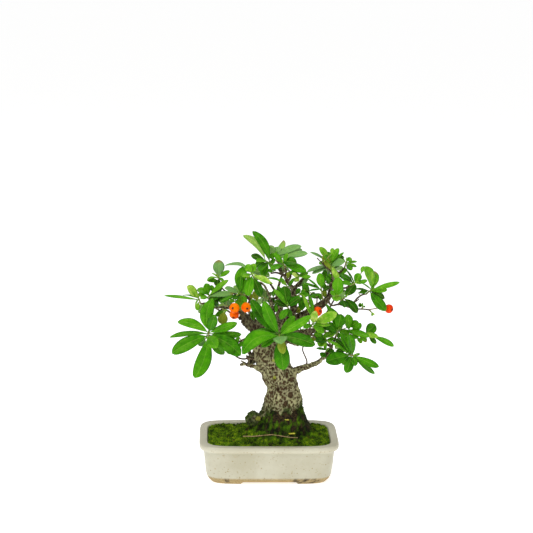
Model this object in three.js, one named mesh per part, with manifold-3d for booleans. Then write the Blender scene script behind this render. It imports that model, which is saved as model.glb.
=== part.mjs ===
// Narrowleaf firethorn bonsai in a glazed oval-cornered pot.
// Millimetres, +Z up, front of the pot towards -Y. The origin is under the middle of the whole object.
import * as THREE from 'three';
import { mergeVertices } from 'three/addons/utils/BufferGeometryUtils.js';
import Module from 'manifold-3d';

const wasm = await Module();
wasm.setup();

// Clearances
const GAP = 0.3;

// Pot, from its underside
const POT_HALF_WIDTH = 57.5;
const POT_HALF_DEPTH = 38;
const POT_HEIGHT = 34;
const POT_MIDDLE_X = 0.8;
// The heights of the tree are counted from a level this far above the underside of the pot
const DRAWING_BASE = 1.5;
const POT_SQUARENESS = 6.3;
const POT_STEPS = 32;
const RIM_WIDTH = 6.6;
const FLOOR_TOP = 8;
const WALL_FOOT_HALF_WIDTH = 46;
const FOOT_RECESS = 3;
const ARCH_HEIGHT = 2;
const FRONT_ARCH_WIDTH = 45;
const SIDE_ARCH_WIDTH = 22;
const DRAIN_X = 24;
const DRAIN_RADIUS = 4.5;

// Drain screens lie on the pot floor, under the soil
const SCREEN_SIDE = 15;
const SCREEN_THICKNESS = 0.8;
const SCREEN_SLOT = 2.4;
const SCREEN_SLOTS = 3;

// Soil and moss
const SOIL_TOP = 30.4;
const MOSS_EDGE = 32.7;
const MOSS_STEPS = 32;
const MOSS_RINGS = [1, 0.84, 0.7, 0.58, 0.49, 0.41, 0.34, 0.27];
const MOUND_RISE = 24.5;
const MOUND_CENTRE = { x: 12.4, y: 0 };
const MOUND_RADIUS = { x: 15.5, y: 12.2 };
const MOUND_FALL = 1.25;
const MOUND_FADE = { left: 11, right: 6.5, front: 3.6, back: 5 };

// Leaves: thickness, and the share of the full width at places along the blade
const BLADE_THICKNESS = 0.62;
const BLADE_ARCH = 0.06;
const LONG_LEAF = 14;
const LONG_OUTLINE = [[0, 0.07], [0.36, 0.9], [0.76, 0.98], [1, 0.34]];
const SHORT_OUTLINE = [[0, 0.1], [0.6, 1.05], [1, 0.4]];
const SHOOT_RADIUS = 0.8;
const SHOOT_SIDES = 4;
const ROOT_OFFSET = 0.5;
// Leaves of one spray may cross only near their roots, up to this share of their length
const ROOT_SHARE = 0.35;
// Where a leaf would cross another spray, its tip moves by the first of these that clears it
const LEAN_TRIALS = [0, 3, -3, 6, -6, 9, -9, 12, -12, 15, -15, 19, -19];
const BACK_LEAVES = 4;
const GOLDEN_ANGLE = THREE.MathUtils.degToRad(137.5);

// Places on the tree are given as they are seen from in front and a little above:
// [across, up, near] is across and up in the upright plane through the pot's middle,
// then brought nearer to the viewer along the line of sight.
const EYE = new THREE.Vector3(-45.8, -1270, 459.5);

function place([across, up, near]) {
  const point = new THREE.Vector3(across - POT_MIDDLE_X, 0, up + DRAWING_BASE);
  const towards = EYE.clone().sub(point).normalize();
  return point.addScaledVector(towards, near);
}

// Trunk outline: [height, left edge, right edge]
const TRUNK_OUTLINE = [
  [24, -3, 27.5], [33, -5, 28.5], [42, -6, 29.2], [50, -6.4, 29.8], [55, -5, 29.2], [60, -3.3, 28.6],
  [66, -2.7, 27.8], [70, -1.4, 26], [74, -0.8, 24.4], [79, -4.6, 24], [84, -4.4, 24], [88, -7, 21.4],
  [93, -10.5, 18], [99, -13.5, 17], [105, -13, 16.2], [112, -11, 15], [119, -9.5, 14.6],
  [125, -7, 13.5], [130, -3, 9],
];
// Depth as a share of the width: below the first height, and above the second
const TRUNK_DEPTH = [0.67, 0.85];
const TRUNK_DEPTH_HEIGHTS = [46, 82];
const TRUNK_SIDES = 16;
const TRUNK_LUMPS = 0.8;

// Roots in the soil: [direction in degrees from +X, reach, depth]
const ROOTS = [[18, 34, 17], [84, 24, 15], [152, 36, 18], [208, 33, 16], [322, 32, 17], [182, 26, 24]];

// Gnarled knob of an old root at the left foot of the trunk
const KNOB = { x: -12.8, y: -2, z: 47.9, radius: 6.2 };

// Limbs, stubs and bare twigs: [across, up, near, diameter] at each point
const LIMBS = [
  // Rough limb to the upper left, which ends in a mossy stub
  [[0, 117, 2, 11], [-7, 121.6, 3, 8], [-13, 125.8, 4, 6.6], [-18.4, 130, 5, 6.6], [-21.8, 134.4, 5, 5.4]],
  [[-2, 113.6, 6, 8], [-9, 118.2, 7, 5.4], [-15, 122.6, 7, 4.2], [-20, 126.8, 7, 3.4], [-23, 128.6, 7, 2]],
  // Central leader and its fork
  [[6, 120, 0, 13], [12, 126, 0, 9], [17.5, 133, 1, 7], [20, 140, 1, 6], [20, 149, 0, 5], [19.8, 157, -1, 4.2]],
  [[19.8, 156, -1, 3.6], [15, 162.5, -3, 2.8], [11.5, 168, -5, 2.2], [7, 174, -7, 1.6]],
  [[19.8, 156, -1, 3.6], [25, 162, -3, 2.6], [29.5, 166.5, -4, 2], [31.4, 168, -4, 1.3]],
  [[11.5, 168, -5, 1.9], [6, 170, -4, 1.5], [1.2, 169.4, -3, 1.2]],
  [[15, 162.5, -3, 1.8], [17.4, 167, -3, 1.6], [15.6, 172.6, -4, 1.2]],
  // Right upper limb to the dark knot
  [[14, 128, -2, 9], [24, 132, -3, 7.4], [35, 138, -2, 6.8], [43, 143.5, 0, 6.2], [48, 148.5, 0, 4.4],
    [49.6, 154, -1, 3.2], [50.6, 161, -4, 3], [54, 168, -7, 4.4], [56, 170, -8, 2.6]],
  // Lower right branch
  [[16, 82.8, 2, 8.4], [23, 87.2, 3, 5.4], [30, 89.9, 4, 4.2], [36, 91.8, 4, 4], [41, 94.2, 5, 3.6],
    [45.5, 98, 5, 3.2], [50, 103, 5, 2.8], [52, 108, 5, 2.4], [53.6, 112, 5, 2]],
  // Dead stubs on the left
  [[0, 84, 3, 8], [-6, 88, 5, 5.4], [-10, 89.8, 6, 4.2], [-15, 91.5, 7, 3.4], [-19, 92.6, 7, 2.2],
    [-22.6, 92.1, 7, 1.4]],
  [[-17, 92, 7, 2], [-20, 94, 7, 1.5], [-22.4, 95.4, 7, 1.1]],
  [[-9, 96, 4, 3], [-16, 97.6, 7, 1.7], [-20, 97, 8, 1.4], [-24, 97.7, 8, 1.4], [-27, 99.5, 7, 1.2],
    [-29, 102, 6, 1]],
  [[-16.2, 98, 7, 1.2], [-16, 95, 7.5, 1.2], [-14.8, 91.4, 7, 1.2]],
  // Dead stub behind the front rosette, on the right
  [[8, 111, 4, 4], [16, 112, 9, 3], [21, 110.4, 11, 2.4], [24.6, 108.8, 12, 2]],
  // Thin upright twigs on the right
  [[31, 90, 4, 1.6], [31.8, 95, 5, 1.2], [30, 100, 6, 1.1], [28.2, 104.5, 6, 1.1], [28.6, 109.8, 6, 1]],
  [[38.5, 139, 2, 2], [39, 143.5, 4, 1.2], [39.4, 149.6, 5, 1]],
  [[69.4, 145, -5, 1.1], [71.5, 146.4, -5, 1], [73.6, 148, -6, 0.9]],
  // Thorns at the top right
  [[52.6, 169.6, -7.4, 2], [47, 174, -3, 1.3], [43, 178, -1, 1.1], [38.6, 182.4, 0, 0.9]],
  // Twig with the far-right berry
  [[48, 148, 0, 2.6], [49.5, 144.5, 0, 1.8], [52, 142.6, -1, 1.5], [57, 143.6, -2, 1.5], [63, 142, -4, 1.4],
    [70, 139.8, -6, 1.3], [76, 139.7, -8, 1.2], [82, 139.2, -9, 1.1]],
  // Twigs of the back, out of sight from the front
  [[2, 116, -4, 10], [-6, 124, -14, 7], [-14, 130, -24, 5], [-26, 139, -34, 3.4]],
  [[10, 114, -5, 9], [20, 118, -16, 6], [34, 121, -28, 4.4], [46, 122, -36, 3]],
  [[6, 122, -6, 9], [8, 132, -16, 6], [9, 142, -26, 4.4], [6, 154, -34, 3]],
  // Side twig on the right, with the fan sprays
  [[51, 108, 5, 2.2], [45, 111.5, 7, 2], [39, 115, 9, 1.8], [35, 118.5, 11, 1.7], [33, 122, 12, 1.6]],
  [[35.5, 118, 11, 1.4], [30, 118.6, 10, 1.2], [26.4, 120, 9, 1.1], [25.8, 125.4, 8, 0.9]],
];

// Sprays: the twig that carries the spray, the end of its green shoot, and its leaves from the end down.
// A leaf is [across, up] of its tip, how much nearer the tip is than the root, width, turn in degrees
// about its own length, and sideways swing as a share of its length.
const SPRAYS = {
  spray_left_low: {
    twig: [[-38, 139.6, 2, 1.6], [-42, 136, 2, 1.6], [-46, 130, 4, 1.5], [-48.3, 124, 7, 1.4]],
    tip: [-49.5, 116, 14],
    leaves: [
      [-42.5, 106.5, 20, 11.5, 0], [-60.7, 80.5, 6, 12.6, -10, 0.06], [-79.5, 101.5, 4, 11.6, 10, -0.04],
      [-22.6, 100, 10, 13, 0, 0.08], [-36.6, 100.8, -4, 8.4, 20], [-81.2, 115, -5, 7, 50, -0.02],
      [-22.2, 117.8, -6, 6.4, 20], [-74.8, 128.7, -6, 8.2, 15, -0.08], [-25.8, 127.8, 3, 7.2, 10],
      [-44, 134.5, 8, 8.4, 0], [-46.5, 148.5, 2, 11, 5, 0.12],
    ],
  },
  spray_left_far: {
    twig: [[-39.6, 137.6, 2, 1.6], [-47, 142, 1, 1.4], [-53, 143.6, 0, 1.4], [-56.2, 144.2, -1, 1.2]],
    tip: [-57.6, 149, -1],
    leaves: [
      [-67, 158.6, 3, 8.4, 0], [-70.5, 150.8, -9, 5, 35], [-60.4, 141, -6, 4.8, 10],
      [-85.5, 150.4, -6, 3.4, 0, 0.02],
    ],
  },
  spray_left_tuft: {
    twig: [[-45, 140.8, 1.2, 1.6], [-48, 144, -2, 1.3], [-48.6, 146.4, -3, 1.1]],
    tip: [-49.4, 151.6, -3],
    leaves: [
      [-51.8, 160.8, 2, 7, 10], [-58.6, 156.4, -4, 7, 10], [-33.3, 163.8, 4, 4.8, 15],
      [-38.5, 156.6, -5, 4.8, 0], [-28.8, 152.3, 5, 5.2, 30, 0.03], [-56.2, 148.4, 4, 3.8, 0],
      [-41, 142, -6, 7, 10],
    ],
  },
  spray_left_high: {
    twig: [[-15.6, 147, 4, 1.8], [-21, 150.6, 1, 1.4], [-30, 152.6, -1, 1.3], [-36, 154.6, -4, 1.2],
      [-39, 158, -7, 1.2], [-40.4, 162, -9, 1]],
    tip: [-41.6, 167, -9],
    leaves: [
      [-41.3, 180.4, 3, 9.6, 8], [-32.3, 171.4, 3, 4, 25],
      [-50.7, 163.4, 4, 4.2, 20, -0.18], [-43, 158.6, 5, 5.6, 0],
    ],
  },
  spray_left_mid: {
    twig: [[-21, 134, 5, 2.4], [-18, 141, 4, 2], [-15.8, 148, 4, 1.8], [-19.5, 150.6, 6, 1.4]],
    tip: [-24.4, 152.6, 10],
    leaves: [
      [-36.4, 157, 4, 6, 20], [-23, 167.5, -2, 5.8, 0], [-29.4, 147.4, 5, 5.6, 10],
      [-40.4, 144.8, 2, 4.4, 20], [-20.3, 175.4, -8, 9.4, 15, 0.1], [-24, 138, 3, 8.4, 0],
      [-17.8, 164.6, 0, 5, 10], [-18.6, 144.6, 3, 4.4, 10],
    ],
  },
  spray_left_olive: {
    twig: [[-22, 131, 5, 2.2], [-27, 129.6, 6, 1.8], [-31.5, 130, 5, 1.6], [-32.8, 137, 3, 1.6],
      [-38, 139.8, 2, 1.5]],
    tip: [-36.4, 137.6, 7],
    leaves: [[-38.8, 126.6, 2, 8.4, 0], [-43.2, 133.4, -1, 4, 0]],
  },
  spray_crown_left: {
    twig: [[5, 125, 3, 4], [4.4, 131, 8, 3.4], [3.4, 137, 9, 3], [2, 143, 10, 2.8], [1, 148, 11, 2.2], [-1.4, 154, 12, 1.8],
      [-4, 159, 13, 1.6], [-7, 161.3, 13, 1.4], [-10.6, 162.4, 14, 1.2]],
    tip: [-15.4, 171, 16],
    leaves: [
      [-36.3, 175.9, -10, 4.8, 20, -0.18], [-18.6, 176.8, 2, 6.6, -15], [-12.3, 177.6, -2, 6, 10],
      [-21.8, 166.6, 5, 5, 10], [-17.5, 150.3, 6, 8.4, 0], [1.2, 160.9, 3, 5.2, 20, 0.05],
      [-6.4, 150.2, -8, 7.4, 0],
    ],
  },
  spray_crown_mid: {
    twig: [[7.5, 173.4, -7, 1.8], [5, 175.6, -7, 1.3], [2.4, 176.6, -7, 1.1]],
    tip: [-3.6, 180.2, -4.8],
    leaves: [
      [-21.7, 201, -4, 6.4, 165, 0.13], [-15, 184.4, 3, 6.6, 10], [-10.8, 179.3, 8, 6.6, 0],
      [-8.2, 171, 8, 7.3, 14], [-6, 166.4, 2, 7.5, 2], [-13.9, 204.5, 0, 7.5, 6, -0.1],
    ],
  },
  spray_crown_top: {
    twig: [[10, 170, -5, 1.9], [8.4, 176, -9, 1.5], [6.4, 179, -10, 1.2]],
    tip: [4.4, 185, -11],
    leaves: [
      [-1.4, 192.3, -4, 7, 0], [7.2, 191.5, -6, 7, 10], [11.6, 196.7, -9, 6.6, 165],
      [25.8, 192.3, 2, 6.8, 15, 0.04], [26.5, 189.5, -6, 5.8, 20],
      [31, 186.2, 6, 7.2, 10], [0.4, 176.6, 3, 5.2, 0],
    ],
  },
  spray_crown_right: {
    twig: [[12.6, 166.5, -4, 2], [13.6, 171, -4, 1.6], [12.8, 174.4, -4, 1.2]],
    tip: [10.6, 178.6, -2],
    leaves: [
      [22.2, 178, 6, 8.2, 5, 0.06], [30.2, 171.2, 3, 7.6, 10, -0.02], [14.6, 186.2, 2, 4.2, 0],
      [3.5, 186.4, 0, 5, 0], [0.6, 173, 3, 6.4, 10],
    ],
  },
  spray_crown_inner: {
    twig: [[29.5, 166.4, -4, 1.6], [28, 166.8, -2, 1.2]],
    tip: [23.4, 166.6, 2],
    leaves: [[18.6, 169, 2, 4.2, 10], [20.6, 162.6, 3, 5, 0], [33.8, 166.8, 3, 3.6, 20], [16.2, 171, -4, 4.4, 10]],
  },
  spray_leader: {
    twig: [[19.8, 151, 0, 2.4], [18, 153.6, 3, 1.3], [16.6, 156, 4, 1.1]],
    tip: [13.6, 160, 5],
    leaves: [[-1.8, 165.3, 2, 3.6, 25, -0.12], [20.6, 165.4, 2, 3.4, 10]],
  },
  spray_leader_right: {
    twig: [[20, 147, 1, 2.4], [21.6, 149.4, 4, 1.3], [22.8, 150.4, 6, 1.1]],
    tip: [25.4, 152, 9],
    leaves: [[29.4, 156, -2, 4, 20], [32.4, 151.6, 0, 4, 20], [27.3, 138.4, 4, 5.4, 0], [24.2, 147, 4, 4, 0]],
  },
  spray_mid: {
    twig: [[18, 134, 3, 3], [17.6, 136, 9, 1.6], [17, 137.6, 12, 1.4]],
    tip: [14.8, 142.8, 17],
    leaves: [
      [12, 159, -2, 9.2, 0], [3.6, 156, 3, 4.6, 10], [25.2, 149.4, 3, 7, 15], [6.8, 159, -7, 4.6, 20],
      [4, 146.3, -3, 5.8, 10], [9.5, 130.8, 8, 6.6, 0], [17.6, 132.6, 3, 4.6, 10],
    ],
  },
  spray_front: {
    twig: [[7, 122, 6, 4], [8, 124.4, 18, 2.4], [8, 122, 27, 1.8]],
    tip: [9, 115.6, 38],
    leaves: [
      [10.4, 110, 15, 11.6, 0], [12.4, 101.6, 8, 6.8, 10], [12.4, 87.4, 2, 12.6, 0],
      [-21.8, 101.4, 4, 13, 8, -0.19], [38.6, 109.2, 6, 10.2, 10, 0.05], [34.6, 134.2, 2, 7.4, 15],
      [-6, 107.4, -5, 6.2, 10], [-10.4, 121, -8, 6.4, 20], [-4.6, 146, 3, 9.2, 0, 0.04],
      [-14.9, 148, -6, 9.6, 10, 0.08], [21.3, 133.7, -7, 6.6, 20], [13.8, 122, -8, 3.8, 0],
    ],
  },
  spray_mid_right: {
    twig: [[33.4, 121, 12, 1.7], [34.2, 124, 14, 1.4]],
    tip: [37.6, 130, 21],
    leaves: [
      [28, 151.2, -7, 3.8, 15, 0.06], [32.4, 152.4, -11, 3.6, 20], [33, 140.4, -3, 3.8, 10],
      [56, 136.4, 3, 8.8, 5, -0.06], [38.4, 138, 6, 6.6, 0], [50.2, 126, 4, 4.4, 10],
      [45.2, 119, 5, 6.4, 0], [28.6, 123.4, 3, 5, 10],
    ],
  },
  spray_right_inner: {
    twig: [[53, 110.4, 5, 2.2], [54.4, 114, 6, 1.7], [55.2, 116.6, 7, 1.5]],
    tip: [56.8, 122.4, 10],
    leaves: [
      [59.2, 135.4, 0, 9.8, 10], [47, 143.8, -8, 5.8, 20], [48.4, 127.4, 2, 7.4, 0], [45, 115.8, 5, 6.8, 10],
    ],
  },
  spray_right_yellow: {
    twig: [[51.6, 107, 5, 2], [50.8, 109.6, 8, 1.4], [50, 111, 9, 1.2]],
    tip: [46.8, 114.6, 12],
    leaves: [[41.6, 107.8, 5, 7.2, 0], [37.4, 118.6, -2, 6, 10], [38.6, 112, -5, 6, 0]],
  },
  spray_right_fan: {
    twig: [[55, 115.6, 6, 1.8], [57, 120.8, 1, 1.5], [60.6, 122.5, -2, 1.3]],
    tip: [85.4, 117.2, 2],
    spread: 0.96,
    leaves: [
      [103.6, 108, -4, 5, 35, 0.05], [88.7, 110.4, 3, 4.2, 30], [87.6, 126.6, -3, 9, 0],
      [90.4, 116, 6, 5, 0], [80.6, 111.6, 5, 5, 0], [71, 114.4, 4, 6, 0],
      [75.8, 127.6, 3, 6.2, 10], [64.4, 135.2, -2, 8.2, 0], [83, 116, 3, 6.2, 0],
    ],
  },
  spray_right_low: {
    twig: [[49.4, 102.4, 5, 2.4], [57, 101.6, 9, 1.8], [64, 101, 12, 1.5]],
    tip: [70.8, 100, 16],
    leaves: [
      [91.6, 90.4, 4, 6.4, 10, -0.02], [88.2, 84.4, -6, 4.6, 35], [72, 91.2, 5, 5.6, 0],
      [66, 118.4, 4, 7.8, 0], [64.5, 85.3, 6, 8.2, 0],
      [58.6, 119.4, -2, 7, 10], [61, 92.3, -3, 4.6, 0], [54, 115, -6, 4.8, 20],
      [47.4, 95, 4, 11.6, 5], [48.4, 113, -2, 3.6, 25],
    ],
  },
  spray_right_small: {
    twig: [[45, 98, 6, 2.2], [45.6, 100.4, 9, 1.3]],
    tip: [48, 104.6, 10],
    leaves: [[39.4, 106, 2, 3.8, 15], [54.4, 104.2, -3, 4, 0], [43.8, 98.8, 4, 6, 0]],
  },
  spray_inner_right: {
    twig: [[43, 144, 2, 2.2], [44, 147.4, 5, 1.4]],
    tip: [42.4, 158, 6],
    leaves: [
      [41, 169.8, 3, 7, 0], [27.8, 161.3, 2, 4, 20],
      [49.4, 158.8, -3, 3.8, 0], [34.2, 150, 3, 5, 20],
    ],
  },
  spray_inner_left: {
    twig: [[33.8, 121.6, 12, 1.4], [33, 130, 8, 1.2], [32.4, 138, 5, 1.2], [32.8, 143.4, 3, 1]],
    tip: [32.4, 150.6, 1],
    leaves: [[28, 160.8, -3, 6, 0], [37.2, 153.8, -3, 3.4, 10], [28.6, 147.4, -2, 3.4, 10]],
  },
  spray_right_top: {
    twig: [[54, 168, -7, 3], [51.8, 170.8, -8, 1.6], [51.2, 172, -8, 1.3]],
    tip: [49.6, 179, -8],
    leaves: [
      [40.4, 191.5, 0, 6.2, 10], [47, 187.7, -4, 5.8, 0], [56, 190.6, -3, 5.4, 5], [60.8, 183.2, 2, 6.4, 10, 0.18],
      [33, 187.1, 2, 4.8, 25], [44, 183.4, 5, 8, 0], [40.2, 178.6, -5, 6.4, 10], [61, 179.4, 7, 7.4, 10],
      [30.6, 170.7, 3, 5.6, 20, -0.02], [56.7, 162.8, 6, 5.2, 0], [34.8, 169.3, 8, 4.6, 0],
      [48.4, 159.3, 3, 5.2, 0],
    ],
  },
  spray_right_tuft: {
    twig: [[55, 169.6, -8, 2.2], [58.6, 171.4, -9, 1.6], [61.2, 174.4, -9, 1.2]],
    tip: [62.8, 180, -9],
    leaves: [
      [66.8, 182.4, -2, 4.6, 0], [57.6, 182.4, 3, 3.2, 0],
      [67.4, 172.6, 4, 5.2, 0],
    ],
  },
  spray_right_bud: {
    twig: [[50, 156.6, -1, 2.2], [56, 157, 3, 1.8], [62, 157.4, 7, 1.6], [66, 159.6, 9, 1.3]],
    tip: [70.8, 162, 11],
    leaves: [
      [80.2, 163.7, -3, 3.6, 35], [73.8, 169.7, -2, 6.6, 0], [62.4, 172.7, -3, 3.6, 35],
      [58, 168.7, -7, 5.8, 10], [59, 161.6, 4, 5, 5],
    ],
  },
  spray_right_front: {
    twig: [[49.4, 151, 1, 2.2], [51.4, 149.8, 12, 1.6], [53.2, 148.8, 20, 1.3]],
    tip: [55.4, 151.4, 29],
    leaves: [[56.5, 166.3, 4, 9.2, 0], [55.6, 146, 10, 8.2, 0], [50.3, 155, -4, 4.2, 10], [59.4, 160.3, -7, 6.6, 10]],
  },
  spray_right_pair: {
    twig: [[56.6, 143.4, -2, 1.8], [58.4, 145.8, 3, 1.3]],
    tip: [62.2, 150, 8],
    leaves: [[70.2, 161, -3, 8, 10], [72.8, 136.5, 3, 6.8, 10, 0.05], [62, 141.2, 4, 7.4, 0]],
  },
  spray_far_right: {
    twig: [[62, 142.3, -4, 1.7], [66.6, 143, -5, 1.6], [69.4, 145.2, -5, 1.6], [72, 148.6, -6, 1.6],
      [76, 151.6, -7, 1.4], [79.6, 152.4, -7, 1.2]],
    tip: [84, 156.6, -7],
    leaves: [
      [77, 175.4, 2, 11.2, 8, -0.1], [86.4, 171.6, -6, 8.8, 10], [106.7, 162.4, 2, 4.6, 45, 0.03],
      [96.7, 156, 0, 4.6, 25], [94.7, 148.7, -2, 5.8, 10, 0], [96, 138.2, 6, 10.2, 0, -0.07],
      [70.2, 156.6, 2, 3.8, 25],
    ],
  },
  spray_round: {
    twig: [[75.6, 139.7, -8, 1.4], [76.6, 140.5, -5, 1]],
    tip: [76.9, 142.2, -3],
    leaves: [[73.2, 143.4, 0, 4.2, 0]],
  },
  spray_spur: {
    twig: [[80, 139.4, -8.6, 1.3], [82.6, 138.8, -6, 1]],
    tip: [84.6, 136.4, -5],
    leaves: [[85.3, 134, 0, 2.2, 0]],
  },
};

// Sprays of the back, out of sight from the front: the twig and the end of the shoot.
// Their leaves stand round the shoot by the golden angle and reach away from the viewer.
const BACK_SPRAYS = [
  { twig: [[-24, 137.6, -32, 2.6], [-33, 141.4, -40, 1.6]], tip: [-38, 143, -47] },
  { twig: [[-24, 137.6, -32, 2.6], [-38, 141, -27, 1.6], [-46, 140, -28, 1.3]], tip: [-50, 138, -34] },
  { twig: [[-6, 124, -14, 3], [-16, 116, -22, 2], [-28, 110, -24, 1.5]], tip: [-33, 109, -31] },
  { twig: [[-14, 130, -24, 3], [-18, 143, -30, 2], [-22, 151, -34, 1.4]], tip: [-24, 155, -41] },
  { twig: [[6.4, 152, -33, 2.4], [0, 162, -36, 1.8], [-4, 168, -38, 1.3]], tip: [-7, 171, -45] },
  { twig: [[6.4, 149, -30, 2.4], [0, 147, -33, 1.6]], tip: [-5, 150, -40] },
  { twig: [[6.2, 153, -33, 2.6], [9, 164, -34, 2], [12, 172, -34, 1.4]], tip: [14, 177, -40] },
  { twig: [[8.8, 140, -24, 3], [11, 146, -34, 1.6]], tip: [12, 149, -43] },
  { twig: [[20, 118, -16, 3], [22, 116, -28, 1.8], [24, 115, -36, 1.4]], tip: [26, 115, -45] },
  { twig: [[44, 121.8, -34, 2.4], [52, 116, -34, 1.6], [58, 111, -33, 1.3]], tip: [62, 110, -40] },
  { twig: [[38, 121.4, -30, 2.6], [46, 134, -32, 1.8], [53, 147, -34, 1.4]], tip: [56, 154, -40] },
  { twig: [[49.5, 158, -3, 2.2], [51, 165, -18, 1.6], [51, 170, -28, 1.3]], tip: [52, 174, -36] },
];
const BACK_RADIUS = 8;
const BACK_REACH = [12, 16, 9];
const BACK_WIDTH = [6.4, 7.6, 5.4];

// Berries: centre, radius, where the stalk leaves the twig, and the direction of the eye of the fruit
const BERRIES = [
  { centre: [-28.3, 140.2, 21], radius: 4.1, stalk: [-22.5, 137.5, 8], eye: [-0.45, -1, 0.2] },
  { centre: [-28.4, 134.7, 13], radius: 3.9, stalk: [-22.5, 133.8, 8], eye: [-0.2, -1, -0.7] },
  { centre: [-18.7, 140.8, 18], radius: 4.1, stalk: [-19.6, 135.6, 8], eye: [0.25, -1, -0.05] },
  { centre: [39.9, 137.6, 15], radius: 3.9, stalk: [39, 140, 5], eye: [0.7, -1, 0.4] },
  { centre: [98.5, 140, -9], radius: 3.8, stalk: [82, 139.2, -9], eye: [0.9, -0.8, -0.1], bend: [90, 140.6, -9] },
];
const STALK_RADIUS = 0.45;
const BERRY_SIDES = 9;

// Bits lying on the moss: places over the pot's foot as [x, y], and sizes
const FALLEN_TWIG = { from: [-21.4, -15], to: [23.4, -20.4], radius: 0.5, steps: 6 };
const FALLEN_LEAVES = [
  { name: 'fallen_leaf_front', middle: [18.8, -17], length: 5.2, width: 2.4, heading: 12 },
  { name: 'fallen_leaf_mound', middle: [14.6, -14], length: 3.2, width: 1.8, heading: -20 },
];
const FALLEN_LEAF_HEIGHT = 0.8;
const FALLEN_TWIG_LIFT = 2.3;
const FALLEN_LEAF_LIFT = 2.1;
const UP = new THREE.Vector3(0, 0, 1);

// Solids and meshes

// Positions only, shared corners merged, and triangles without area left out
function welded(geometry) {
  geometry.deleteAttribute('normal');
  geometry.deleteAttribute('uv');
  const merged = mergeVertices(geometry, 1e-4);
  const index = merged.index.array;
  const kept = [];
  for (let i = 0; i < index.length; i += 3) {
    const [a, b, c] = [index[i], index[i + 1], index[i + 2]];
    if (a !== b && b !== c && c !== a) {
      kept.push(a, b, c);
    }
  }
  merged.setIndex(kept);
  return merged;
}

function solidOf(geometry) {
  const closed = welded(geometry);
  const index = Uint32Array.from(closed.index.array);
  const points = Float32Array.from(closed.attributes.position.array);
  if (signedVolume(points, index) < 0) {
    for (let i = 0; i < index.length; i += 3) {
      [index[i], index[i + 1]] = [index[i + 1], index[i]];
    }
  }
  return new wasm.Manifold(new wasm.Mesh({ numProp: 3, vertProperties: points, triVerts: index }));
}

function signedVolume(points, index) {
  const corner = (i) => new THREE.Vector3().fromArray(points, 3 * index[i]);
  let sum = 0;
  for (let i = 0; i < index.length; i += 3) {
    sum += corner(i).dot(corner(i + 1).cross(corner(i + 2)));
  }
  return sum / 6;
}

function geometryOf(solid) {
  const mesh = solid.getMesh();
  const geometry = new THREE.BufferGeometry();
  geometry.setAttribute('position', new THREE.BufferAttribute(mesh.vertProperties, 3));
  geometry.setIndex(new THREE.BufferAttribute(mesh.triVerts, 1));
  geometry.computeVertexNormals();
  return geometry;
}

function joined(solids) {
  return solids.reduce((whole, solid) => whole.add(solid));
}

// Every corner of the shape moved by a rule, once the corners that meet are one
function reshaped(geometry, move) {
  const shape = welded(geometry);
  const position = shape.attributes.position;
  const point = new THREE.Vector3();
  for (let i = 0; i < position.count; i += 1) {
    point.fromBufferAttribute(position, i);
    const moved = move(point);
    position.setXYZ(i, moved.x, moved.y, moved.z);
  }
  return shape;
}

const group = new THREE.Group();
const boxes = new THREE.Group();
group.add(boxes);

function addNode(name, solid, color, roughness, metalness = 0) {
  const material = new THREE.MeshStandardMaterial({ color, roughness, metalness });
  const mesh = new THREE.Mesh(geometryOf(solid), material);
  mesh.name = name;
  boxes.add(mesh);
}

// A tapered tube through [point, radius] pairs, each ring square to the path
function taperedTube(rings, sides) {
  const steps = rings.length - 1;
  const frames = [];
  let side = null;
  rings.forEach(([point], i) => {
    const before = rings[Math.max(i - 1, 0)][0];
    const after = rings[Math.min(i + 1, steps)][0];
    const along = after.clone().sub(before).normalize();
    const start = side ?? (Math.abs(along.z) < 0.9 ? new THREE.Vector3(0, 0, 1) : new THREE.Vector3(1, 0, 0));
    side = start.clone().addScaledVector(along, -start.dot(along)).normalize();
    frames.push([side, new THREE.Vector3().crossVectors(along, side)]);
  });
  const geometry = new THREE.CylinderGeometry(1, 1, 1, sides, steps);
  return reshaped(geometry, (point) => {
    const i = Math.round((point.y + 0.5) * steps);
    const [u, v] = frames[i];
    const [middle, radius] = rings[i];
    return middle.clone().addScaledVector(u, radius * point.x).addScaledVector(v, radius * point.z);
  });
}

function twigTube(path, grow = 0) {
  const rings = path.map(([across, up, near, diameter]) => [place([across, up, near]), diameter / 2 + grow]);
  const widest = Math.max(...path.map((entry) => entry[3]));
  const sides = [6, 4, 3][[4.6, 2.3, 0].findIndex((limit) => widest > limit)];
  return solidOf(taperedTube(rings, sides));
}

// Pot

// The plan is a rounded rectangle: a superellipse whose half width is given, with the same rim all round
function planPoint(halfWidth, angle) {
  const halfDepth = halfWidth - (POT_HALF_WIDTH - POT_HALF_DEPTH);
  const power = 2 / POT_SQUARENESS;
  const c = Math.cos(angle);
  const s = Math.sin(angle);
  return new THREE.Vector2(
    halfWidth * Math.sign(c) * Math.abs(c) ** power,
    halfDepth * Math.sign(s) * Math.abs(s) ** power,
  );
}

// The point of the same plan that lies in a given direction from its middle
function planReach(halfWidth, direction) {
  const halfDepth = halfWidth - (POT_HALF_WIDTH - POT_HALF_DEPTH);
  const c = Math.cos(direction);
  const s = Math.sin(direction);
  const sum = Math.abs(c / halfWidth) ** POT_SQUARENESS + Math.abs(s / halfDepth) ** POT_SQUARENESS;
  return new THREE.Vector2(c, s).multiplyScalar(sum ** (-1 / POT_SQUARENESS));
}

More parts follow.
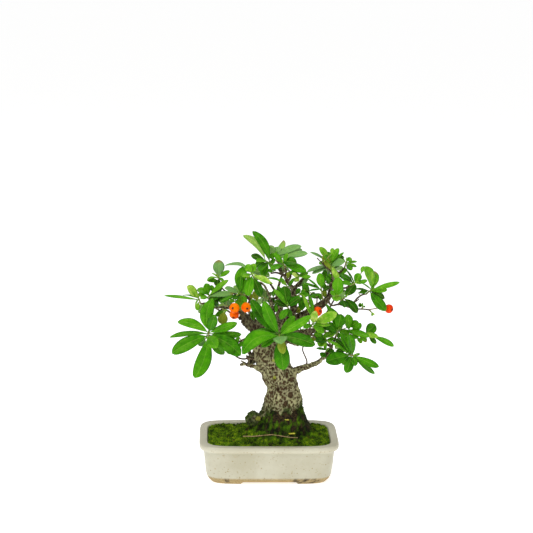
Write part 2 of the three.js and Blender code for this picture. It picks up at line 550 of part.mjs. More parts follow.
// A solid of the pot's plan, turned from [half width, height] pairs; half widths at or below the
// least one shrink to the middle.
function planSolid(profile, height = (x, y, z) => z, steps = POT_STEPS) {
  const least = POT_HALF_WIDTH - POT_HALF_DEPTH;
  const points = profile.map(([halfWidth, z]) => new THREE.Vector2(halfWidth, z));
  const geometry = new THREE.LatheGeometry(points, steps);
  return solidOf(reshaped(geometry, (point) => {
    const reach = Math.hypot(point.x, point.z);
    if (reach < 1e-6) {
      return new THREE.Vector3(0, 0, height(0, 0, point.y));
    }
    const angle = Math.atan2(point.x, point.z);
    const flat = planPoint(Math.max(reach, least + 1), angle);
    if (reach < least + 1) {
      flat.multiplyScalar(reach / (least + 1));
    }
    return new THREE.Vector3(flat.x, flat.y, height(flat.x, flat.y, point.y));
  }));
}

function boxSolid(width, depth, height, x, y, z) {
  return solidOf(new THREE.BoxGeometry(width, depth, height).translate(x, y, z));
}

function discSolid(radius, height, x, y, z, sides = 16) {
  const geometry = new THREE.CylinderGeometry(radius, radius, height, sides);
  return solidOf(geometry.rotateX(Math.PI / 2).translate(x, y, z));
}

const rimInside = POT_HALF_WIDTH - RIM_WIDTH;

function makePot() {
  const profile = [
    [0, FOOT_RECESS], [39, FOOT_RECESS], [40, 0], [47.8, 0], [50.4, 3.2], [51.8, 6.6],
    [54.2, 28], [57, 29.6], [POT_HALF_WIDTH, 31], [57.2, 33.4], [56.4, POT_HEIGHT],
    [rimInside + 0.8, POT_HEIGHT], [rimInside, 33.2], [WALL_FOOT_HALF_WIDTH, 9.5], [44.5, FLOOR_TOP], [0, FLOOR_TOP],
  ];
  let pot = planSolid(profile);
  pot = pot.subtract(boxSolid(FRONT_ARCH_WIDTH, 120, 2 * ARCH_HEIGHT, 0.3, 0, 0));
  pot = pot.subtract(boxSolid(160, SIDE_ARCH_WIDTH, 2 * ARCH_HEIGHT, 0, 0, 0));
  for (const x of [-DRAIN_X, DRAIN_X]) {
    pot = pot.subtract(discSolid(DRAIN_RADIUS, 20, x, 0, 5));
  }
  return pot;
}

function makeScreen(x) {
  const z = FLOOR_TOP + GAP + SCREEN_THICKNESS / 2;
  let screen = boxSolid(SCREEN_SIDE, SCREEN_SIDE, SCREEN_THICKNESS, x, 0, z);
  const pitch = SCREEN_SIDE / (SCREEN_SLOTS + 1);
  for (let i = 0; i < SCREEN_SLOTS; i += 1) {
    for (let j = 0; j < SCREEN_SLOTS; j += 1) {
      const slotX = x + (i - (SCREEN_SLOTS - 1) / 2) * pitch;
      const slotY = (j - (SCREEN_SLOTS - 1) / 2) * pitch;
      screen = screen.subtract(boxSolid(SCREEN_SLOT, SCREEN_SLOT, 2, slotX, slotY, z));
    }
  }
  return screen;
}

// Trunk and roots

function lumps(angle, height) {
  return TRUNK_LUMPS * (
    Math.sin(3 * angle + 0.21 * height) + 0.8 * Math.sin(5 * angle - 0.33 * height + 1.3)
    + 0.6 * Math.sin(2 * angle + 0.5 * height + 2.1)
  ) / 1.6;
}

function trunkDepth(height) {
  const [low, high] = TRUNK_DEPTH_HEIGHTS;
  return THREE.MathUtils.lerp(...TRUNK_DEPTH, THREE.MathUtils.smoothstep(height, low, high));
}

function trunkTube(grow) {
  const steps = TRUNK_OUTLINE.length - 1;
  const geometry = new THREE.CylinderGeometry(1, 1, 1, TRUNK_SIDES, steps);
  return solidOf(reshaped(geometry, (point) => {
    const [height, left, right] = TRUNK_OUTLINE[Math.round((point.y + 0.5) * steps)];
    const half = (right - left) / 2;
    const angle = Math.atan2(point.z, point.x);
    const share = (Math.hypot(point.x, point.z) * (half + grow + lumps(angle, height))) / half;
    return new THREE.Vector3(
      (left + right) / 2 - POT_MIDDLE_X + half * share * Math.cos(angle),
      half * share * trunkDepth(height) * Math.sin(angle),
      height + DRAWING_BASE,
    );
  }));
}

function rootTubes(grow) {
  return ROOTS.map(([heading, reach, depth]) => {
    const angle = THREE.MathUtils.degToRad(heading);
    const at = (share, z, radius) => [
      new THREE.Vector3(
        MOUND_CENTRE.x + Math.cos(angle) * reach * share,
        MOUND_CENTRE.y + Math.sin(angle) * reach * share * 0.72,
        z,
      ),
      radius + grow,
    ];
    const rings = [at(0.1, 34, 6), at(0.5, 29, 4), at(0.8, 24, 2.6), at(1, depth, 1.3)];
    return solidOf(taperedTube(rings, 5));
  });
}

function rootKnob(grow) {
  const middle = new THREE.Vector3(KNOB.x, KNOB.y, KNOB.z);
  const knob = new THREE.SphereGeometry(KNOB.radius + grow, 8, 6).translate(KNOB.x, KNOB.y, KNOB.z);
  const trunk = new THREE.Vector3(MOUND_CENTRE.x, MOUND_CENTRE.y, KNOB.z - 6);
  const root = taperedTube([[trunk, KNOB.radius + grow], [middle, 0.7 * KNOB.radius + grow]], 6);
  return solidOf(knob).add(solidOf(root));
}

function makeRootMass(grow) {
  return joined([trunkTube(grow), rootKnob(grow), ...rootTubes(grow)]);
}

function makeWood() {
  const twigs = [...Object.values(SPRAYS), ...BACK_SPRAYS].map((spray) => twigTube(spray.twig));
  return joined([makeRootMass(0), ...LIMBS.map((path) => twigTube(path)), ...twigs]);
}

// Soil and moss

// Level moss with soft bumps, and a mound over an ellipse at the foot of the trunk that falls away outside it
function mossHeight(x, y) {
  const bumps = 0.5 * Math.sin(0.42 * x + 1.1) * Math.cos(0.51 * y) + 0.35 * Math.sin(0.9 * x - 0.7 * y);
  const reachX = (x - MOUND_CENTRE.x) / MOUND_RADIUS.x;
  const reachY = (y - MOUND_CENTRE.y) / MOUND_RADIUS.y;
  const share = Math.hypot(reachX, reachY);
  if (share <= 1) {
    return MOSS_EDGE + bumps + MOUND_RISE;
  }
  const away = Math.hypot(x - MOUND_CENTRE.x, y - MOUND_CENTRE.y) * (1 - 1 / share);
  const fadeX = reachX < 0 ? MOUND_FADE.left : MOUND_FADE.right;
  const fadeY = reachY < 0 ? MOUND_FADE.front : MOUND_FADE.back;
  const fade = (fadeX * Math.abs(reachX) + fadeY * Math.abs(reachY)) / (Math.abs(reachX) + Math.abs(reachY));
  return MOSS_EDGE + bumps + MOUND_RISE * Math.exp(-((away / fade) ** MOUND_FALL));
}

// The upper face runs from the pot's edge to the foot of the trunk along straight rays
function makeMoss() {
  const edge = rimInside - GAP - 0.3;
  const lowest = SOIL_TOP + GAP;
  const profile = [[0, lowest], [1, lowest], ...MOSS_RINGS.map((share) => [share, MOSS_EDGE]), [0, MOSS_EDGE]];
  const points = profile.map(([share, z]) => new THREE.Vector2(share, z));
  const middle = new THREE.Vector2(MOUND_CENTRE.x, MOUND_CENTRE.y);
  const moss = solidOf(reshaped(new THREE.LatheGeometry(points, MOSS_STEPS), (point) => {
    const upper = point.y > (lowest + MOSS_EDGE) / 2;
    const rim = planReach(upper ? edge : edge - 0.4, Math.atan2(point.x, point.z));
    const flat = middle.clone().lerp(rim, Math.hypot(point.x, point.z));
    return new THREE.Vector3(flat.x, flat.y, upper ? mossHeight(flat.x, flat.y) : lowest);
  }));
  return moss.subtract(makeRootMass(GAP));
}

function makeSoil() {
  const low = FLOOR_TOP + GAP;
  const profile = [[0, low], [44, low], [WALL_FOOT_HALF_WIDTH - 0.6, 9.8], [rimInside - 1.1, SOIL_TOP], [0, SOIL_TOP]];
  let soil = planSolid(profile).subtract(makeRootMass(GAP));
  for (const x of [-DRAIN_X, DRAIN_X]) {
    soil = soil.subtract(boxSolid(SCREEN_SIDE + 2 * GAP, SCREEN_SIDE + 2 * GAP, 2 * (SCREEN_THICKNESS + 2 * GAP), x, 0, low));
  }
  return soil;
}

// Leaves and sprays

// A blade from root to tip. Its upper face looks to the viewer and the sky, turned about its own length.
function makeBlade(root, tip, width, turn, swing, outward, grow = 0, from = 0) {
  const along = tip.clone().sub(root);
  const length = along.length();
  along.normalize();
  const face = outward.clone().addScaledVector(along, -outward.dot(along)).normalize();
  face.applyAxisAngle(along, THREE.MathUtils.degToRad(turn));
  const across = new THREE.Vector3().crossVectors(face, along);
  const middle = root.clone().lerp(tip, 0.5)
    .addScaledVector(face, 2 * BLADE_ARCH * length)
    .addScaledVector(across, 2 * swing * length);
  const spine = new THREE.QuadraticBezierCurve3(root, middle, tip);
  const outline = length > LONG_LEAF ? LONG_OUTLINE : SHORT_OUTLINE;
  const steps = outline.length - 1;
  const geometry = new THREE.BoxGeometry(1, 1, 1, 1, 1, steps);
  return solidOf(reshaped(geometry, (point) => {
    const [share, wide] = outline[Math.round((point.z + 0.5) * steps)];
    return spine.getPoint(Math.max(share, from))
      .addScaledVector(across, point.x * (width * wide + 2 * grow))
      .addScaledVector(face, point.y * (BLADE_THICKNESS + 2 * grow));
  }));
}

function outwardOf(start, end, back) {
  const view = EYE.clone().sub(end).normalize().multiplyScalar(back ? -0.75 : 0.75);
  const shoot = end.clone().sub(start).normalize().multiplyScalar(0.4);
  return view.add(shoot).add(new THREE.Vector3(0, 0, 0.35));
}

// The green shoot starts a little way off the twig that carries it
function shootEnds(spray) {
  const last = spray.twig.at(-1);
  const twigEnd = place(last);
  const before = place(spray.twig.at(-2));
  const end = place(spray.tip);
  const heading = end.clone().sub(twigEnd).normalize();
  const slant = heading.angleTo(twigEnd.clone().sub(before));
  const clear = GAP + 0.1 + (last[3] / 2 + SHOOT_RADIUS) * Math.sin(Math.min(slant, Math.PI / 2));
  return [twigEnd.addScaledVector(heading, clear), end];
}

function backLeaves(spray, order) {
  const leaves = [];
  for (let i = 0; i < BACK_LEAVES; i += 1) {
    const angle = (i + order) * GOLDEN_ANGLE;
    const kind = (i + order) % BACK_REACH.length;
    leaves.push([
      spray.tip[0] + BACK_RADIUS * Math.cos(angle),
      spray.tip[1] + BACK_RADIUS * Math.sin(angle),
      -BACK_REACH[kind], BACK_WIDTH[kind], 0,
    ]);
  }
  return leaves;
}

// Roots of the leaves from the end of the shoot down, over a share of its length
function leafRoots(start, end, count, spread = 0.62) {
  return Array.from({ length: count }, (_, i) => end.clone().lerp(start, (spread * i) / Math.max(count - 1, 1)));
}

// A leaf starts a little way out of the middle of its shoot, on its own side
function offShoot(root, tip, shoot) {
  const heading = tip.clone().sub(root).projectOnPlane(shoot.normalize()).normalize();
  return root.clone().addScaledVector(heading, ROOT_OFFSET);
}

function overlapsAny(solid, others) {
  const box = solid.boundingBox();
  return others.some((other) => {
    const apart = [0, 1, 2].some((k) => box.max[k] < other.box.min[k] || other.box.max[k] < box.min[k]);
    return !apart && !solid.intersect(other.solid).isEmpty();
  });
}

const obstacles = [];

function addObstacle(owner, solid) {
  obstacles.push({ owner, solid, box: solid.boundingBox() });
}

function makeShoot(spray) {
  const [start, end] = shootEnds(spray);
  return solidOf(taperedTube([[start, SHOOT_RADIUS], [end, SHOOT_RADIUS * 0.9]], SHOOT_SIDES));
}

// Each leaf takes the first lean that clears every other piece, and if it can the other leaves of its spray
function growLeaves(name, spray, leaves, back) {
  const [start, end] = shootEnds(spray);
  const outward = outwardOf(start, end, back);
  const roots = leafRoots(start, end, leaves.length, spray.spread);
  const others = obstacles.filter((other) => other.owner !== name);
  const own = [];
  const nearOfTip = spray.tip[2];
  return leaves.map(([across, up, lean, width, turn, swing = 0], i) => {
    const bladeAt = (extra, grow, from) => {
      const tip = place([across, up, nearOfTip + lean + extra]);
      return makeBlade(offShoot(roots[i], tip, end.clone().sub(start)), tip, width, turn, swing, outward, grow, from);
    };
    const clear = LEAN_TRIALS.filter((trial) => !overlapsAny(bladeAt(trial, GAP), others));
    const apart = clear.find((trial) => !overlapsAny(bladeAt(trial, 0, ROOT_SHARE), own));
    if (clear.length === 0) {
      throw new Error(`${name}: no lean clears leaf ${i}`);
    }
    const extra = apart ?? clear[0];
    const outer = bladeAt(extra, 0, ROOT_SHARE);
    own.push({ solid: outer, box: outer.boundingBox() });
    const blade = bladeAt(extra, 0);
    addObstacle(name, blade);
    return blade;
  });
}

// Berries

function makeBerry({ centre, radius, stalk, eye, bend }) {
  const middle = place(centre);
  const facing = new THREE.Vector3(...eye).normalize();
  const sphere = new THREE.SphereGeometry(radius, BERRY_SIDES, 6);
  const turned = new THREE.Quaternion().setFromUnitVectors(new THREE.Vector3(0, 1, 0), facing);
  const fruit = solidOf(reshaped(sphere, (point) => {
    const height = point.y / radius;
    point.y *= height > 0.95 ? 0.8 : 0.92;
    return point.applyQuaternion(turned).add(middle);
  }));
  const corners = bend ? [place(stalk), place(bend), middle] : [place(stalk), middle];
  const heading = corners[1].clone().sub(corners[0]).normalize();
  corners[0].addScaledVector(heading, bend ? 1.2 : 2.4);
  const stem = solidOf(taperedTube(corners.map((corner) => [corner, STALK_RADIUS]), 5));
  return fruit.add(stem);
}

// Bits on the moss

function onMoss(point, lift) {
  return new THREE.Vector3(point.x, point.y, mossHeight(point.x, point.y) + lift);
}

function makeFallenTwig() {
  const from = new THREE.Vector3(...FALLEN_TWIG.from, 0);
  const to = new THREE.Vector3(...FALLEN_TWIG.to, 0);
  const rings = Array.from({ length: FALLEN_TWIG.steps + 1 }, (_, i) => [
    onMoss(from.clone().lerp(to, i / FALLEN_TWIG.steps), FALLEN_TWIG_LIFT), FALLEN_TWIG.radius,
  ]);
  return solidOf(taperedTube(rings, 4));
}

function makeFallenLeaf({ middle, length, width, heading }) {
  const at = new THREE.Vector3(...middle, 0);
  const geometry = new THREE.BoxGeometry(length, width, FALLEN_LEAF_HEIGHT, 2, 1, 1);
  const turn = new THREE.Quaternion().setFromAxisAngle(UP, THREE.MathUtils.degToRad(heading));
  return solidOf(reshaped(geometry, (point) => {
    point.y *= Math.abs(point.x) > 0.1 ? 0.45 : 1;
    const thickness = point.z;
    const spot = point.clone().setZ(0).applyQuaternion(turn).add(at);
    return onMoss(spot, FALLEN_LEAF_LIFT + thickness);
  }));
}

// Assembly

const LEAF_COLOR = 0x3f7a24;
const BACK_LEAF_COLOR = 0x356b20;
const BERRY_COLORS = [0xf2730c, 0xee5a12, 0xf2730c, 0xdf3a12, 0xd9310f];

const wood = makeWood();
addObstacle('wood', wood);
const berries = BERRIES.map(makeBerry);
berries.forEach((berry, i) => addObstacle(`berry_${i + 1}`, berry));

const sprays = [
  ...Object.entries(SPRAYS).map(([name, spray]) => ({ name, spray, leaves: spray.leaves, back: false })),
  ...BACK_SPRAYS.map((spray, i) => ({
    name: `spray_back_${i + 1}`, spray, leaves: backLeaves(spray, i), back: true,
  })),
];
for (const entry of sprays) {
  entry.shoot = makeShoot(entry.spray);
  addObstacle(entry.name, entry.shoot);
}

addNode('pot', makePot(), 0xe8e2d2, 0.25);
addNode('screen_left', makeScreen(-DRAIN_X), 0x2c2f31, 0.6);
addNode('screen_right', makeScreen(DRAIN_X), 0x2c2f31, 0.6);
addNode('soil', makeSoil(), 0x4a3a2a, 0.95);
addNode('moss', makeMoss(), 0x3c5a1c, 0.95);
addNode('wood', wood, 0x8d8270, 0.85);
for (const { name, spray, leaves, back, shoot } of sprays) {
  const blades = growLeaves(name, spray, leaves, back);
  addNode(name, joined([shoot, ...blades]), back ? BACK_LEAF_COLOR : LEAF_COLOR, 0.45);
}
berries.forEach((berry, i) => addNode(`berry_${i + 1}`, berry, BERRY_COLORS[i], 0.3));
addNode('fallen_twig', makeFallenTwig(), 0x8a6a52, 0.8);
for (const leaf of FALLEN_LEAVES) {
  addNode(leaf.name, makeFallenLeaf(leaf), 0xb7b32e, 0.6);
}

// The whole stands on its pot feet, with the middle of its box over the origin
const whole = new THREE.Box3().setFromObject(boxes);
boxes.position.set(-(whole.min.x + whole.max.x) / 2, -(whole.min.y + whole.max.y) / 2, -whole.min.z);

export default group;
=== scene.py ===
"""Looks of the narrowleaf firethorn bonsai: bark, leaves, berries, moss and the glazed pot.

Sizes are in millimetres until a mesh is written, where they become metres. Places on the tree
are across, up and near: across and up in the upright plane through the pot's middle, as the
viewer sees it, then brought nearer to the viewer along the line of sight.
"""

import logging
import math
from dataclasses import dataclass, field
from enum import Enum

import bpy
import numpy as np
from mathutils import Matrix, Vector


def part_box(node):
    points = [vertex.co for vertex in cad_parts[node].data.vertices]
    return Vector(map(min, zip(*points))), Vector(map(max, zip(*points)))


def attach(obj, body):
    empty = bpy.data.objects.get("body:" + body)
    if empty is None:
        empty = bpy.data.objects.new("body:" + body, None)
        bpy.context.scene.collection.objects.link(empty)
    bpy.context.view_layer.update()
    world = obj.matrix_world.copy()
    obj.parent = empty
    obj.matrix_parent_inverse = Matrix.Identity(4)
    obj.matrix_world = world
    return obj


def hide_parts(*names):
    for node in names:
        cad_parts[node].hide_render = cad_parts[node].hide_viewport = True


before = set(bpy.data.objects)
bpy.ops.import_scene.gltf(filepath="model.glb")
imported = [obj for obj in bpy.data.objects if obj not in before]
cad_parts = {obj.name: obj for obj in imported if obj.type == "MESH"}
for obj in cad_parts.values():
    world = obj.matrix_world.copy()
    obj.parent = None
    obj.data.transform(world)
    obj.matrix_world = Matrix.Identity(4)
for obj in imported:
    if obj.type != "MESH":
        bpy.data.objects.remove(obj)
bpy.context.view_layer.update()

LOG = logging.getLogger("firethorn")
MM = 0.001
SEED = 41

# The viewer and the tree's own measures, from the pot's middle and underside
EYE = np.array((-45.8, -1270.0, 459.5))
POT_MIDDLE_X = 0.8
DRAWING_BASE = 1.5
PHOTO_SIDE_PX = 533
FOCAL_PX = 1600
SENSOR_MM = 36
CAMERA_PITCH = math.radians(12.55)
CAMERA_HEADING = math.radians(1.92)
CAMERA_ROLL = math.radians(0.65)

# Leaves, as the solids have them
BLADE_ARCH = 0.06
LONG_LEAF = 14
LONG_END = 0.34
SHORT_END = 0.4
SHOOT_RADIUS = 0.8
ROOT_OFFSET = 0.5
GAP = 0.3
HALF_THICKNESS = 0.31
LEAN_TRIALS = (0, 3, -3, 6, -6, 9, -9, 12, -12, 15, -15, 19, -19)
BACK_LEAVES = 4
BACK_RADIUS = 8
BACK_REACH = (12, 16, 9)
BACK_WIDTH = (6.4, 7.6, 5.4)
SHORT_LEAVES = 5
SINGLE_NEAR = (-14, 8)
GOLDEN_ANGLE = math.radians(137.5)
SPREAD = 0.62


class Tint(Enum):
    """What the green of a leaf is turned towards; the grey-green tints are painted sheen."""

    GREEN = "its own green"
    # painted sheen: the grey-green stands for the sky's glancing reflection on the leaf
    SHEEN_GREY = "dull grey-green"
    GOLD = "olive-brown"
    # painted sheen as above, with a real dried brown end
    SHEEN_GREY_DRIED = "dull grey-green with a dried end"


@dataclass(frozen=True)
class Leaf:
    """One leaf, which grows from its spray's shoot, or from its own root where it has one.

    It is the across and up of its tip, how much nearer to the viewer the tip is than the root,
    its width, its tone from 0, dark and glossy, to 1, pale yellow-green, how many degrees it is
    turned about its length, its swing sideways as a share of its length, its tint and its root.
    The tone is partly the leaf's own green and partly painted light and shade: a shaded leaf is
    given a dark tone and a lit leaf a pale one.
    """

    across: float
    up: float
    lean: float
    width: float
    tone: float = 0.45
    turn: float = 0
    swing: float = 0
    tint: Tint = Tint.GREEN
    root: tuple = ()


def single_leaf(root_across: float, root_up: float, across: float, up: float, width: float,
                tone: float, lean: float = 1.5, tint: Tint = Tint.GREEN) -> Leaf:
    """Returns a leaf that grows from its own root."""
    return Leaf(across, up, lean, width, tone, tint=tint, root=(root_across, root_up))


@dataclass(frozen=True)
class Spray:
    """A leafy shoot: its twig, the shoot's end, and its leaves from the end down.

    A row of leaves or small holds the fields of a Leaf in their order. The leaves grow over
    spread, a share of the shoot, and the small ones have no solid of their own. A spray of the
    back has leaves that a formula places.
    """

    twig: tuple
    tip: tuple
    leaves: tuple = ()
    small: tuple = ()
    spread: float = SPREAD
    back: bool = False


# Trunk outline in millimetres: height, left edge, right edge
TRUNK_OUTLINE = (
    (24, -3, 27.5), (33, -5, 28.5), (42, -6, 29.2), (50, -6.4, 29.8), (55, -5, 29.2), (60, -3.3, 28.6),
    (66, -2.7, 27.8), (70, -1.4, 26), (74, -0.8, 24.4), (79, -4.6, 24), (84, -4.4, 24), (88, -7, 21.4),
    (93, -10.5, 18), (99, -13.5, 17), (105, -13, 16.2), (112, -11, 15), (119, -9.5, 14.6),
    (125, -7, 13.5), (130, -3, 9),
)

# Limbs, stubs and bare twigs: across, up, near and diameter at each point
LIMBS = (
    (
        (0, 117, 2, 11), (-7, 121.6, 3, 8), (-13, 125.8, 4, 6.6), (-18.4, 130, 5, 6.6),
        (-21.8, 134.4, 5, 5.4),
    ),
    (
        (-2, 113.6, 6, 8), (-9, 118.2, 7, 5.4), (-15, 122.6, 7, 4.2), (-20, 126.8, 7, 3.4),
        (-23, 128.6, 7, 2),
    ),
    (
        (6, 120, 0, 13), (12, 126, 0, 9), (17.5, 133, 1, 7), (20, 140, 1, 6), (20, 149, 0, 5),
        (19.8, 157, -1, 4.2),
    ),
    ((19.8, 156, -1, 3.6), (15, 162.5, -3, 2.8), (11.5, 168, -5, 2.2), (7, 174, -7, 1.6)),
    ((19.8, 156, -1, 3.6), (25, 162, -3, 2.6), (29.5, 166.5, -4, 2), (31.4, 168, -4, 1.3)),
    ((11.5, 168, -5, 1.9), (6, 170, -4, 1.5), (1.2, 169.4, -3, 1.2)),
    ((15, 162.5, -3, 1.8), (17.4, 167, -3, 1.6), (15.6, 172.6, -4, 1.2)),
    (
        (14, 128, -2, 9), (24, 132, -3, 7.4), (35, 138, -2, 6.8), (43, 143.5, 0, 6.2),
        (48, 148.5, 0, 4.4), (49.6, 154, -1, 3.2), (50.6, 161, -4, 3), (54, 168, -7, 4.4),
        (56, 170, -8, 2.6),
    ),
    (
        (16, 82.8, 2, 8.4), (23, 87.2, 3, 5.4), (30, 89.9, 4, 4.2), (36, 91.8, 4, 4),
        (41, 94.2, 5, 3.6), (45.5, 98, 5, 3.2), (50, 103, 5, 2.8), (52, 108, 5, 2.4), (53.6, 112, 5, 2),
    ),
    (
        (0, 84, 3, 8), (-6, 88, 5, 5.4), (-10, 89.8, 6, 4.2), (-15, 91.5, 7, 3.4), (-19, 92.6, 7, 2.2),
        (-22.6, 92.1, 7, 1.4),
    ),
    ((-17, 92, 7, 2), (-20, 94, 7, 1.5), (-22.4, 95.4, 7, 1.1)),
    (
        (-9, 96, 4, 3), (-16, 97.6, 7, 1.7), (-20, 97, 8, 1.4), (-24, 97.7, 8, 1.4),
        (-27, 99.5, 7, 1.2), (-29, 102, 6, 1),
    ),
    ((-16.2, 98, 7, 1.2), (-16, 95, 7.5, 1.2), (-14.8, 91.4, 7, 1.2)),
    ((8, 111, 4, 4), (16, 112, 9, 3), (21, 110.4, 11, 2.4), (24.6, 108.8, 12, 2)),
    ((31, 90, 4, 1.6), (31.8, 95, 5, 1.2), (30, 100, 6, 1.1), (28.2, 104.5, 6, 1.1), (28.6, 109.8, 6, 1)),
    ((38.5, 139, 2, 2), (39, 143.5, 4, 1.2), (39.4, 149.6, 5, 1)),
    ((69.4, 145, -5, 1.1), (71.5, 146.4, -5, 1), (73.6, 148, -6, 0.9)),
    ((52.6, 169.6, -7.4, 2), (47, 174, -3, 1.3), (43, 178, -1, 1.1), (38.6, 182.4, 0, 0.9)),
    (
        (48, 148, 0, 2.6), (49.5, 144.5, 0, 1.8), (52, 142.6, -1, 1.5), (57, 143.6, -2, 1.5),
        (63, 142, -4, 1.4), (70, 139.8, -6, 1.3), (76, 139.7, -8, 1.2), (82, 139.2, -9, 1.1),
    ),
    ((2, 116, -4, 10), (-6, 124, -14, 7), (-14, 130, -24, 5), (-26, 139, -34, 3.4)),
    ((10, 114, -5, 9), (20, 118, -16, 6), (34, 121, -28, 4.4), (46, 122, -36, 3)),
    ((6, 122, -6, 9), (8, 132, -16, 6), (9, 142, -26, 4.4), (6, 154, -34, 3)),
    ((51, 108, 5, 2.2), (45, 111.5, 7, 2), (39, 115, 9, 1.8), (35, 118.5, 11, 1.7), (33, 122, 12, 1.6)),
    ((35.5, 118, 11, 1.4), (30, 118.6, 10, 1.2), (26.4, 120, 9, 1.1), (25.8, 125.4, 8, 0.9)),
)

